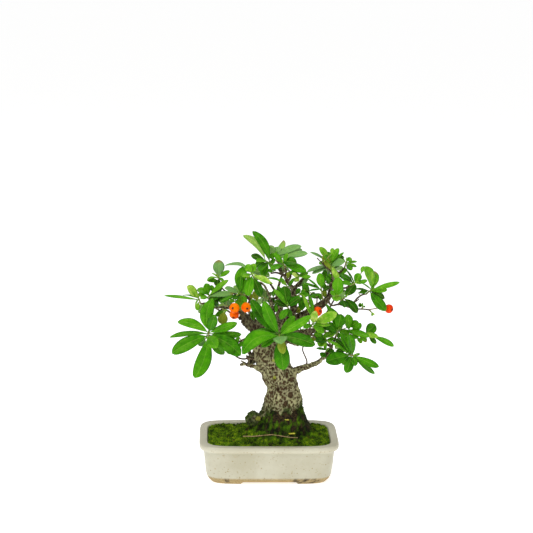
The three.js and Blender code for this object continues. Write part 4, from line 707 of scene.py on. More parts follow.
def ring_solid(rings: np.ndarray, values: dict | None = None, slots: np.ndarray | None = None,
               uv: np.ndarray | None = None) -> Surface:
    """Closes a stack of rings into a solid.

    Each ring's corners join the next ring's, and the first and last ring close to a pole at
    their middle.

    Args:
        rings: shape (rings, corners, 3), in mm.
        values: numbers by name, each of shape (rings, corners).
        slots: one slot for each of the corners' strips along the stack.
        uv: shape (rings, corners, 2).
    """
    count, corners = rings.shape[:2]
    index = np.arange(count * corners).reshape(count, corners)
    after = np.roll(index, -1, axis=1)
    quads = np.stack((index[:-1], after[:-1], after[1:], index[1:]), axis=-1).reshape(-1, 4)
    poles = count * corners + np.arange(2)
    none = np.full(corners, -1)
    low = np.stack((after[0], index[0], np.full(corners, poles[0]), none), axis=-1)
    high = np.stack((index[-1], after[-1], np.full(corners, poles[1]), none), axis=-1)
    points = np.vstack((rings.reshape(-1, 3), rings[0].mean(0), rings[-1].mean(0)))
    strips = np.zeros(corners, np.int32) if slots is None else np.asarray(slots, np.int32)
    flat = {
        name: np.concatenate((np.ravel(table), [np.mean(table[0])], [np.mean(table[-1])]))
        for name, table in (values or {}).items()
    }
    flat_uv = None if uv is None else np.vstack((uv.reshape(-1, 2), uv[0].mean(0), uv[-1].mean(0)))
    return Surface(
        points, np.vstack((quads, low, high)), flat,
        np.concatenate((np.tile(strips, count - 1), strips, strips)), flat_uv,
    ).outward()


def joined(surfaces: list[Surface]) -> Surface:
    """Returns one surface that holds them all, with the values that all of them have."""
    starts = np.cumsum([0] + [len(s.points) for s in surfaces[:-1]])
    names = set.intersection(*(set(s.values) for s in surfaces))
    has_uv = all(s.uv is not None for s in surfaces)
    return Surface(
        np.vstack([s.points for s in surfaces]),
        np.vstack([np.where(s.faces < 0, -1, s.faces + start) for s, start in zip(surfaces, starts)]),
        {name: np.concatenate([s.values[name] for s in surfaces]) for name in sorted(names)},
        np.concatenate([s.face_slots() for s in surfaces]),
        np.vstack([s.uv for s in surfaces]) if has_uv else None,
    )


def frames_along(line: np.ndarray) -> tuple[np.ndarray, np.ndarray]:
    """Returns two unit vectors square to a line at each point, turning as little as they can."""
    along = unit(np.gradient(line, axis=0))
    side = np.array((0.0, 0.0, 1.0)) if abs(along[0, 2]) < 0.9 else np.array((1.0, 0.0, 0.0))
    sides = []
    for heading in along:
        side = unit(side - heading * (side @ heading))
        sides.append(side)
    return np.array(sides), np.cross(along, np.array(sides))


def tube(line: np.ndarray, radii: np.ndarray, sides: int, values: dict | None = None) -> Surface:
    """A round tube: at each point of the line a circle of its radius, square to the line.

    Args:
        line: points in mm, shape (n, 3).
        radii: radius at each point.
        sides: corners of each ring.
        values: numbers by name, one for each point of the line.
    """
    first, second = frames_along(line)
    angle = full_turn(sides)[None, :, None]
    circle = first[:, None] * np.cos(angle) + second[:, None] * np.sin(angle)
    spread = {
        name: np.repeat(np.asarray(row)[:, None], sides, axis=1) for name, row in (values or {}).items()
    }
    return ring_solid(line[:, None] + circle * radii[:, None, None], spread)


def ball(centre: np.ndarray, axis: tuple, radius: float, rings: int, sides: int) -> Surface:
    """A ball, as a tube along its axis."""
    share = np.linspace(0, 1, rings)
    line = centre + np.array(axis) * radius * np.cos(np.pi * share)[:, None]
    return tube(line, radius * np.maximum(np.sin(np.pi * share), 0.03), sides)


def add_object(name: str, data: bpy.types.ID) -> bpy.types.Object:
    """Returns a new object of the data, in the scene."""
    item = bpy.data.objects.new(name, data)
    bpy.context.scene.collection.objects.link(item)
    return item


def read_points(mesh: bpy.types.Mesh, name: str = "co") -> np.ndarray:
    """Returns the vectors of that name at a mesh's points."""
    numbers = np.empty(len(mesh.vertices) * 3)
    mesh.vertices.foreach_get(name, numbers)
    return numbers.reshape(-1, 3)


def read_whole(items: bpy.types.bpy_prop_collection, name: str, width: int = 1) -> np.ndarray:
    """Returns the whole numbers of that name of a mesh's corners or faces, width to an item."""
    numbers = np.empty(len(items) * width, np.int32)
    items.foreach_get(name, numbers)
    return numbers


class Writer:
    """Writes surfaces into Blender as finished pieces of the tree."""

    def __init__(self) -> None:
        """Finds where the pot stands, so that drawn places become places in the frame."""
        low, high = (np.array(corner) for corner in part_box("pot"))
        self.shift = np.array(((low[0] + high[0]) / 2, (low[1] + high[1]) / 2, low[2])) / MM

    def mesh(self, name: str, surface: Surface) -> bpy.types.Mesh:
        """Returns a mesh of the surface, moved into the frame and scaled to metres."""
        mesh = bpy.data.meshes.new(name)
        sizes = np.where(surface.faces[:, 3] < 0, 3, 4)
        mesh.vertices.add(len(surface.points))
        mesh.vertices.foreach_set("co", ((surface.points + self.shift) * MM).astype(np.float32).ravel())
        mesh.loops.add(int(sizes.sum()))
        corners = surface.faces[surface.faces >= 0]
        mesh.loops.foreach_set("vertex_index", corners.astype(np.int32))
        mesh.polygons.add(len(sizes))
        starts = np.concatenate(([0], np.cumsum(sizes)[:-1])).astype(np.int32)
        mesh.polygons.foreach_set("loop_start", starts)
        mesh.polygons.foreach_set("material_index", surface.face_slots().astype(np.int32))
        mesh.polygons.foreach_set("use_smooth", np.ones(len(sizes), bool))
        for key, numbers in surface.values.items():
            attribute = mesh.attributes.new(key, "FLOAT", "POINT")
            attribute.data.foreach_set("value", numbers.astype(np.float32))
        if surface.uv is not None:
            layer = mesh.uv_layers.new(name="UVMap")
            layer.data.foreach_set("uv", surface.uv[corners].astype(np.float32).ravel())
        mesh.update(calc_edges=True)
        mesh.validate()
        return mesh

    def piece(self, name: str, surface: Surface, materials: list, slot: str,
              nodes: tuple = ()) -> bpy.types.Object:
        """Makes a finished piece that rides on the tree.

        Args:
            name: the piece's name.
            surface: its shape.
            materials: its materials, by slot.
            slot: not used.
            nodes: the CAD nodes that it stands for.
        """
        piece = add_object(name, self.mesh(name, surface))
        for material in materials:
            piece.data.materials.append(material)
        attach(piece, "root")
        if nodes:
            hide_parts(*nodes)
        LOG.info("%s: %d faces", name, len(surface.faces))
        return piece


# Materials


def linear(code: str) -> tuple[float, float, float, float]:
    """Returns an sRGB colour such as "#1f5a17" in linear light, with full alpha."""
    channels = [int(code[k:k + 2], 16) / 255 for k in (1, 3, 5)]
    return (*(c / 12.92 if c <= 0.04045 else ((c + 0.055) / 1.055) ** 2.4 for c in channels), 1.0)


class Recipe:
    """The nodes of one material, added one at a time to its Principled shader."""

    def __init__(self, name: str, **constants: float) -> None:
        """Starts a material whose shader inputs, by name with _ for a space, are constants."""
        self.material = bpy.data.materials.new(name)
        self.material.use_nodes = True
        self.tree = self.material.node_tree
        self.shader = next(node for node in self.tree.nodes if node.type == "BSDF_PRINCIPLED")
        self.join({key.replace("_", " "): value for key, value in constants.items()}, self.shader)

    def join(self, inputs: dict, node: bpy.types.Node) -> None:
        """Sets a node's inputs, each to a constant or to another node's output."""
        for key, value in inputs.items():
            if isinstance(value, bpy.types.NodeSocket):
                self.tree.links.new(value, node.inputs[key])
            else:
                node.inputs[key].default_value = value

    def add(self, kind: str, inputs: dict, output: int = 0, **settings) -> bpy.types.NodeSocket:
        """Adds a node and returns one of its outputs.

        Args:
            kind: the node's type without "ShaderNode".
            inputs: constants or outputs, by input name or number.
            output: which output to return.
            settings: the node's own settings.
        """
        node = self.tree.nodes.new("ShaderNode" + kind)
        for key, value in settings.items():
            setattr(node, key, value)
        self.join(inputs, node)
        return node.outputs[output]

    def value(self, name: str) -> bpy.types.NodeSocket:
        """Returns the surface's number of that name."""
        return self.add("Attribute", {}, 2, attribute_name=name)

    def place(self) -> bpy.types.NodeSocket:
        """Returns the place on the object in its own coordinates."""
        return self.add("TexCoord", {}, 3)

    def noise(self, scale: float, detail: float = 4, roughness: float = 0.55) -> bpy.types.NodeSocket:
        """Returns noise from 0 to 1, with scale lumps a metre."""
        inputs = {"Vector": self.place(), "Scale": scale, "Detail": detail, "Roughness": roughness}
        return self.add("TexNoise", inputs)

    def math(self, operation: str, first, second=0.0, third=0.0) -> bpy.types.NodeSocket:
        """Returns a sum, product or other operation of numbers or outputs."""
        return self.add("Math", {0: first, 1: second, 2: third}, operation=operation)

    def spread(self, value, low: float, high: float, to_low: float = 0, to_high: float = 1):
        """Returns the value moved from the range low to high into another, and kept inside it."""
        inputs = {
            "Value": value, "From Min": low, "From Max": high, "To Min": to_low, "To Max": to_high,
        }
        return self.add("MapRange", inputs, clamp=True)

    def mix(self, share, first, second, blend: str = "MIX") -> bpy.types.NodeSocket:
        """Returns the first colour blended towards the second by a share."""
        colors = [linear(c) if isinstance(c, str) else c for c in (first, second)]
        inputs = {0: share, 6: colors[0], 7: colors[1]}
        return self.add("Mix", inputs, 2, data_type="RGBA", blend_type=blend)

    def tint(self, color, towards, share, most) -> bpy.types.NodeSocket:
        """Returns the colour blended towards another by a share times most."""
        return self.mix(self.math("MULTIPLY", share, most), color, towards)

    def ramp(self, value, stops: tuple) -> bpy.types.NodeSocket:
        """Returns a colour picked along stops of (position, sRGB colour)."""
        node = self.tree.nodes.new("ShaderNodeValToRGB")
        self.join({"Fac": value}, node)
        elements = node.color_ramp.elements
        while len(elements) < len(stops):
            elements.new(0.5)
        for element, (position, code) in zip(elements, stops):
            element.position = position
            element.color = linear(code)
        return node.outputs[0]

    def bump(self, height, strength: float, distance: float) -> None:
        """Raises the surface by a height of 0 to 1 times the distance, in metres."""
        inputs = {"Height": height, "Strength": strength, "Distance": distance}
        self.join({"Normal": self.add("Bump", inputs)}, self.shader)

    def finish(self, **inputs) -> bpy.types.Material:
        """Sets the shader's last inputs, by name with _ for a space, and returns the material."""
        self.join({key.replace("_", " "): value for key, value in inputs.items()}, self.shader)
        return self.material


class BladeSide(Enum):
    """The two faces of a leaf."""

    UPPER = "upper"
    UNDER = "under"


@dataclass(frozen=True)
class LeafFinish:
    """The skin of a leaf: leathery and glossy above, paler and duller below."""

    side: BladeSide
    # The tones run from dark to pale green; a leaf's tone is partly its own green and partly painted
    # light and shade
    tones: tuple = (
        (0.0, "#184605"), (0.2, "#256a06"), (0.45, "#408c07"), (0.65, "#569b14"),
        (0.8, "#76ab2a"), (0.92, "#98bf45"), (1.0, "#b6cc64"),
    )
    vein: str = "#a8c858"
    # painted sheen: the grey-green that the sky's glancing reflection gives some leaves
    haze: str = "#7d9f6c"
    gold: str = "#8c8a2c"
    dried: str = "#8a6a3c"
    pale: str = "#a9c07a"
    sheen: str = "#c4e860"
    vein_spacing: float = 2.1
    vein_slope: float = 1.15
    midrib_half_width: float = 0.17
    midrib_edge: float = 0.16

    def make(self) -> bpy.types.Material:
        """Builds the material from the numbers of BladeShape and the leaf's uv in mm.

        The veins are at even steps of the length less 1.15 times the way from the midrib.
        """
        upper = self.side is BladeSide.UPPER
        recipe = Recipe("firethorn_leaf_" + self.side.value)
        across, along = recipe.add("SeparateXYZ", {0: recipe.add("UVMap", {})}).node.outputs[:2]
        aside = recipe.math("ABSOLUTE", across)
        level = recipe.math("MULTIPLY_ADD", aside, -self.vein_slope, along)
        saw = recipe.math("PINGPONG", recipe.math("ADD", level, 40.0), self.vein_spacing / 2)
        veins = recipe.spread(saw, 0.0, 0.3, 1, 0)
        midrib_end = self.midrib_half_width + self.midrib_edge
        midrib = recipe.spread(aside, self.midrib_half_width, midrib_end, 1, 0)
        # painted light and shade: the leaf's tone is darker where the leaf is shaded and paler where it
        # is lit
        tone = recipe.math("MULTIPLY_ADD", recipe.value("own"), 0.14, recipe.value("tone"))
        tone = recipe.math("ADD", tone, recipe.spread(recipe.noise(330, 3), 0.3, 0.7, -0.17, 0.05))
        tone = recipe.math("ADD", tone, recipe.spread(recipe.noise(110, 2), 0.35, 0.65, -0.12, 0.1))
        edge = recipe.spread(recipe.value("edge"), 0.86, 1.0, 0, 0.12)
        color = recipe.ramp(recipe.math("ADD", tone, edge), self.tones)
        # painted sheen: leaves with a grey-green tint are turned towards it
        color = recipe.tint(color, self.haze, recipe.value("haze"), 0.6)
        color = recipe.tint(color, self.gold, recipe.value("gold"), 0.65)
        color = recipe.tint(color, self.vein, veins, 0.09 if upper else 0.18)
        color = recipe.tint(color, self.vein, midrib, 0.16 if upper else 0.4)
        color = recipe.tint(color, self.dried, recipe.value("brown"), 0.9)
        if not upper:
            color = recipe.mix(0.3, color, self.pale)
        height = recipe.math("ADD", recipe.math("MULTIPLY", veins, -1.0), recipe.noise(900, 2))
        recipe.bump(height, 0.45, 0.00018)
        smooth, dull, shine = (0.26, 0.42, 0.32) if upper else (0.5, 0.66, 0.2)
        roughness = recipe.spread(recipe.noise(700, 2), 0.3, 0.7, smooth, dull)
        return recipe.finish(Base_Color=color, Roughness=roughness, Specular_IOR_Level=shine,
                             Specular_Tint=linear(self.sheen))


@dataclass(frozen=True)
class BarkFinish:
    """Old grey-brown bark with dark pits, a green film of algae, and moss at the foot."""

    name: str
    dark: str = "#2b2418"
    middle: str = "#605b41"
    light: str = "#948f6c"
    algae: str = "#757746"
    young: str = "#4e3628"
    speck: str = "#b9b48c"
    ridge: str = "#bdb889"
    inside: tuple = ("#1d140b", "#5e3d22")
    shadow: str = "#2a1f16"
    lichen: tuple = ("#7f8a26", "#bfc44c")
    moss: tuple = ("#0f1306", "#42640c")

    def make(self) -> bpy.types.Material:
        """Builds the material from the bark's numbers.

        They are pit, high, age, rough, shade, lichen and moss, as BarkRelief stores them.
        """
        recipe = Recipe(self.name)
        grain = recipe.noise(260, 6, 0.62)
        fine = recipe.noise(1100, 4, 0.6)
        mottling = recipe.spread(grain, 0.3, 0.72, 0, 0.5)
        height = recipe.math("MULTIPLY_ADD", recipe.value("high"), 0.5, mottling)
        color = recipe.ramp(height, ((0.05, self.dark), (0.42, self.middle), (0.85, self.light)))
        film = recipe.spread(recipe.noise(85, 3), 0.44, 0.66)
        color = recipe.tint(color, self.algae, film, 0.5)
        color = recipe.mix(recipe.spread(recipe.value("age"), 0.0, 0.5, 0.85, 0), color, self.young)
        color = recipe.tint(color, self.speck, recipe.spread(fine, 0.58, 0.7), 0.35)
        net = self.net(recipe)
        color = recipe.mix(recipe.spread(net, 0.55, 0.8, 0, 0.6), color, self.ridge)
        open_pit = recipe.math("MULTIPLY", recipe.spread(net, 0.42, 0.34), recipe.value("rough"))
        ragged = recipe.math("ADD", recipe.spread(fine, 0.3, 0.7, -0.3, 0.3), recipe.value("pit"))
        dark = recipe.math("MAXIMUM", recipe.spread(ragged, 0.3, 0.55), open_pit)
        color = recipe.tint(color, recipe.mix(recipe.noise(500, 3), *self.inside), dark, 0.9)
        color = recipe.tint(color, self.shadow, recipe.value("shade"), 0.72)
        color = recipe.mix(recipe.value("lichen"), color, recipe.mix(fine, *self.lichen))
        tuft = recipe.spread(recipe.noise(480, 5, 0.65), 0.42, 0.68)
        color = recipe.mix(recipe.value("moss"), color, recipe.mix(tuft, *self.moss))
        relief = recipe.math("MULTIPLY_ADD", grain, 0.7, recipe.math("MULTIPLY", fine, 0.5))
        recipe.bump(recipe.math("MULTIPLY_ADD", dark, -1.1, relief), 0.9, 0.0008)
        return recipe.finish(Base_Color=color, Roughness=0.86, Specular_IOR_Level=0.2)

    def net(self, recipe: Recipe) -> bpy.types.NodeSocket:
        """Returns how far a place is from the middles of the bark's pits.

        It is the distance to the nearest of scattered points 1.7 mm apart, drawn out upwards,
        with the place shifted by noise so that the pits are ragged, less noise that makes
        some of them wider.
        """
        drawn = recipe.add("Mapping", {"Vector": recipe.place(), "Scale": (1.0, 1.0, 0.75)})
        shift = recipe.add("TexNoise", {"Vector": recipe.place(), "Scale": 500.0, "Detail": 3.0}, 1)
        inputs = {0: shift, 1: (0.0011,) * 3, 2: drawn}
        moved = recipe.add("VectorMath", inputs, operation="MULTIPLY_ADD")
        spots = recipe.add("TexVoronoi", {"Vector": moved, "Scale": 590.0})
        return recipe.math("ADD", spots, recipe.spread(recipe.noise(150, 4), 0.35, 0.65, 0.16, -0.14))


@dataclass(frozen=True)
class GlazeFinish:
    """A cream stoneware glaze with tan specks, over bare tan clay at the foot."""

    glaze: str = "#bfbca8"
    shade: str = "#b0ab93"
    # painted highlight: the rolled rim is painted paler, for the light that falls on its top
    rim: str = "#e6e1cc"
    speck: str = "#8f7b50"
    grains: str = "#a89a70"
    rust: str = "#a48e5e"
    clay: tuple = ("#b2a074", "#8e7448")
    # darker blotches along the front of the foot
    stain: str = "#2e261a"

    def make(self) -> bpy.types.Material:
        """Builds the material from the pot's bare, dark blotch and painted rim highlight numbers."""
        recipe = Recipe("cream_glazed_stoneware")
        cloud = recipe.noise(42, 4)
        color = recipe.mix(recipe.spread(cloud, 0.35, 0.68), self.glaze, self.shade)
        dots = recipe.add("TexVoronoi", {"Vector": recipe.place(), "Scale": 420.0, "Randomness": 1.0})
        dot = recipe.spread(dots, 0.16, 0.3, 1, 0)
        patch = recipe.spread(recipe.noise(150, 2), 0.46, 0.6, 0, 0.75)
        color = recipe.tint(color, self.speck, dot, patch)
        grains = recipe.spread(recipe.noise(1500, 3), 0.62, 0.74, 0, 0.35)
        color = recipe.mix(grains, color, self.grains)
        rust = recipe.spread(recipe.noise(210, 5, 0.7), 0.58, 0.72, 0, 0.4)
        color = recipe.mix(rust, color, self.rust)
        # painted highlight: the rim is turned towards a paler cream
        color = recipe.tint(color, self.rim, recipe.value("rim"), 0.22)
        bare = recipe.value("bare")
        clay = recipe.mix(recipe.spread(recipe.noise(900, 5), 0.35, 0.7), *self.clay)
        color = recipe.mix(bare, color, clay)
        # darker blotches along the front of the foot
        color = recipe.mix(recipe.value("stain"), color, self.stain)
        uneven = recipe.math("MULTIPLY", recipe.noise(700, 4), recipe.spread(bare, 0, 1, 0.12, 1))
        recipe.bump(uneven, 0.5, 0.0004)
        return recipe.finish(Base_Color=color, Roughness=recipe.spread(bare, 0, 1, 0.34, 0.85),
                             Specular_IOR_Level=0.4)


@dataclass(frozen=True)
class MossFinish:
    """Cushion moss: dark between the cushions, in painted shade, and bright at the leafy tips."""

    deep_shade: str = "#0e1503"
    middle: str = "#517a08"
    bright: str = "#a9c420"
    dead: str = "#5d4a1c"
    earth: tuple = ("#0f0b06", "#463720")

    def make(self) -> bpy.types.Material:
        """Builds the material from the moss's tip and earth numbers."""
        recipe = Recipe("cushion_moss")
        patch = recipe.spread(recipe.noise(140, 5, 0.62), 0.34, 0.66, -0.32, 0.32)
        tip = recipe.math("ADD", recipe.value("tip"), patch)
        # painted shade and light: the tip number darkens the moss between cushions and at the foot of
        # each tip, and brightens the tips
        color = recipe.ramp(tip, ((0.1, self.deep_shade), (0.55, self.middle), (1.0, self.bright)))
        brown = recipe.spread(recipe.noise(190, 5), 0.6, 0.7, 0, 0.6)
        color = recipe.mix(brown, color, self.dead)
        earth = recipe.mix(recipe.spread(recipe.noise(800, 4), 0.4, 0.65), *self.earth)
        color = recipe.mix(recipe.value("earth"), color, earth)
        recipe.bump(recipe.noise(1700, 4), 0.7, 0.0005)
        return recipe.finish(Base_Color=color, Roughness=0.8, Specular_IOR_Level=0.12)


@dataclass(frozen=True)
class BerrySkin:
    """The firm waxy skin of a ripe pome."""

    skin: str
    blush: str
    speck: str = "#ffa850"
    sheen: str = "#ffb060"

    def make(self) -> bpy.types.Material:
        """Builds the material: orange skin, a redder side, and pale specks."""
        recipe = Recipe("berry_skin_" + self.skin[1:])
        uneven = recipe.spread(recipe.noise(240, 3), 0.3, 0.7, -0.25, 0.25)
        share = recipe.math("ADD", recipe.value("blush"), uneven)
        color = recipe.mix(recipe.spread(share, 0, 1), self.skin, self.blush)
        dots = recipe.add("TexVoronoi", {"Vector": recipe.place(), "Scale": 900.0})
        color = recipe.mix(recipe.spread(dots, 0.08, 0.2, 0.3, 0), color, self.speck)
        return recipe.finish(
            Base_Color=color, Roughness=0.32, Specular_IOR_Level=0.2, Specular_Tint=linear(self.sheen),
            Subsurface_Weight=0.03, Subsurface_Scale=0.002,
        )


@dataclass(frozen=True)
class PlainFinish:
    """A plain finish of two colours, mottled by noise."""

    name: str
    first: str
    second: str
    roughness: float = 0.8
    scale: float = 500
    relief: float = 0.0003

    def make(self) -> bpy.types.Material:
        """Builds the material."""
        recipe = Recipe(self.name, Roughness=self.roughness)
        grain = recipe.noise(self.scale, 5)
        recipe.bump(grain, 0.6, self.relief)
        color = recipe.mix(recipe.spread(grain, 0.32, 0.68), self.first, self.second)
        return recipe.finish(Base_Color=color)


class Materials:
    """Every finish of the tree, made once."""

    def __init__(self) -> None:
        """Builds them all."""
        self.leaf_upper = LeafFinish(BladeSide.UPPER).make()
        self.leaf_under = LeafFinish(BladeSide.UNDER).make()
        # Young shoots: green, reddish in places
        self.shoot = PlainFinish("green_shoot", "#6f8a34", "#8a7a3c", 0.5, 260).make()
        self.bark = BarkFinish("old_bark").make()
        self.twig_bark = BarkFinish(
            "twig_bark", "#1f1711", "#4a3a2d", "#7c705c", "#55553a", "#4a3026",
        ).make()
        self.glaze = GlazeFinish().make()
        self.moss = MossFinish().make()
        self.calyx = PlainFinish("dried_calyx", "#2b1a0c", "#5a3a18", 0.8, 900).make()
        self.stalk = PlainFinish("berry_stalk", "#7d7a35", "#8d5a2a", 0.6, 400).make()
        self.soil = PlainFinish("potting_soil", "#2c2118", "#5a4a38", 0.95, 600, 0.001).make()
        self.screen = PlainFinish("black_plastic_screen", "#17181a", "#242628", 0.5, 300).make()
        self.dry_twig = PlainFinish("dry_twig", "#8a6f4a", "#c1a878", 0.8, 900).make()
        self.fallen_leaf = PlainFinish("fallen_leaf", "#c9c222", "#e2dc56", 0.6, 500).make()


@dataclass
class Assembly:
    """A part of the tree, with what its pieces are made with."""

    writer: Writer
    materials: Materials


# Leaves and shoots


@dataclass(frozen=True)
class BladeShape:
    """The fine form of a blade, the same for every leaf."""

    stations: int = 22
    across: tuple = (-1, -0.72, -0.4, -0.12, 0, 0.12, 0.4, 0.72)
    thickness: float = 0.3
    stem_share: float = 0.06
    stem_half_width: float = 0.42
    fullness: float = 0.52
    widest_power: float = 1.25
    fold: float = 0.22
    fold_spread: tuple = (0.4, 1.5)
    groove: float = 0.16
    groove_width: float = 0.35
    roll: float = 0.3
    wave: float = 0.05
    wave_turns: float = 1.7
    twist: float = 0.22
    curl: tuple = (-0.012, 0.02)
    dried_from: float = 0.78

    def lift(self, t: np.ndarray, half: np.ndarray, u: np.ndarray, opened: np.ndarray,
             rng: np.random.Generator) -> np.ndarray:
        """Returns how far the middle of the blade's thickness stands out of its plane.

        The section is folded up from the midrib by the share fold, grooved along it by
        exp(-(x / 0.35)^2), rolled down at the edges, and waved by slow sines along the length.

        Args:
            t: shares of the length, shape (stations, 1).
            half: half widths there, shape (stations, 1).
            u: shares of the half width, from -1 at the left edge to 1 at the right.
            opened: how far the blade has opened past its stem, shape (stations, 1).
            rng: random numbers for this leaf.
        """
        x, size = half * u, np.abs(u)
        fold = self.fold * rng.uniform(*self.fold_spread)
        phases = rng.uniform(0, 2 * np.pi, 3)
        turns = 2 * self.wave_turns * np.pi * t + phases[0] + (u > 0) * phases[1]
        wave = self.wave * half * np.sin(turns) * size**2
        groove = self.groove * np.exp(-((x / self.groove_width) ** 2)) * opened
        return fold * np.abs(x) - groove + (wave - self.roll * smooth_step(0.7, 1, size) * opened)

    def build(self, spine: np.ndarray, across: np.ndarray, face: np.ndarray, leaf: Leaf,
              brown: float, rng: np.random.Generator) -> Surface:
        """A closed blade about its midrib.

        Its half width is half the leaf's width times sin(pi t^1.25)^0.52, where t goes from 0 at
        the end of the leaf's stem to 1 at its tip.

        Args:
            spine: points along the midrib, shape (stations, 3).
            across: unit vector to the right edge.
            face: unit vector out of the upper face.
            leaf: its full width in mm, its tone from 0, dark, to 1, pale, which is partly painted light
                and shade, and its tint.
            brown: how dried the tip is, 0 to 1.
            rng: random numbers for this leaf.
        """
        t = np.linspace(0, 1, self.stations)[:, None]
        length = np.linalg.norm(np.diff(spine, axis=0), axis=1).sum()
        past = np.clip((t - self.stem_share) / (1 - self.stem_share), 0, 1)
        half = leaf.width / 2 * np.sin(np.pi * past**self.widest_power) ** self.fullness
        half = np.maximum(half, self.stem_half_width * (1 - 0.9 * smooth_step(0.9, 1, t)))
        upper = np.array((*self.across, 1))
        u = np.concatenate((upper, -upper[1:-1]))
        x, size = half * u, np.abs(u)
        opened = smooth_step(0.0, 0.25, past)
        lift = self.lift(t, half, u, opened, rng)
        under = np.arange(len(u)) >= len(upper)
        edge = (size == 1) & ~under
        thick = self.thickness * (1 + 1.2 * (1 - opened))
        lift = lift - np.where(under, 0.5, np.where(edge, 0.0, -0.5)) * thick
        twist = rng.uniform(-self.twist, self.twist) * (t - 0.3)
        side = across * np.cos(twist) + face * np.sin(twist)
        out = face * np.cos(twist) - across * np.sin(twist)
        curl = rng.uniform(*self.curl) * length * t**2 * out
        rings = (spine + curl)[:, None] + x[..., None] * side[:, None] + lift[..., None] * out[:, None]
        # painted sheen: the grey-green tints are marked for the material
        numbers = {
            "tone": leaf.tone, "own": rng.uniform(-1, 1), "haze": leaf.tint in (Tint.SHEEN_GREY, Tint.SHEEN_GREY_DRIED),
            "gold": leaf.tint is Tint.GOLD, "edge": size,
            "brown": brown * smooth_step(self.dried_from, 1.0, t),
        }
        values = {name: np.broadcast_to(number, x.shape) for name, number in numbers.items()}
        uv = np.stack((x, np.broadcast_to(t * length, x.shape)), axis=-1)
        return ring_solid(rings, values, np.where(np.arange(len(u)) < len(upper) - 1, 0, 1), uv)


def wood_paths() -> list[tuple]:
    """Returns the paths of every limb and twig: across, up, near and diameter at each point."""
    return [*LIMBS, *(spray.twig for spray in (*SPRAYS.values(), *BACK_SPRAYS))]


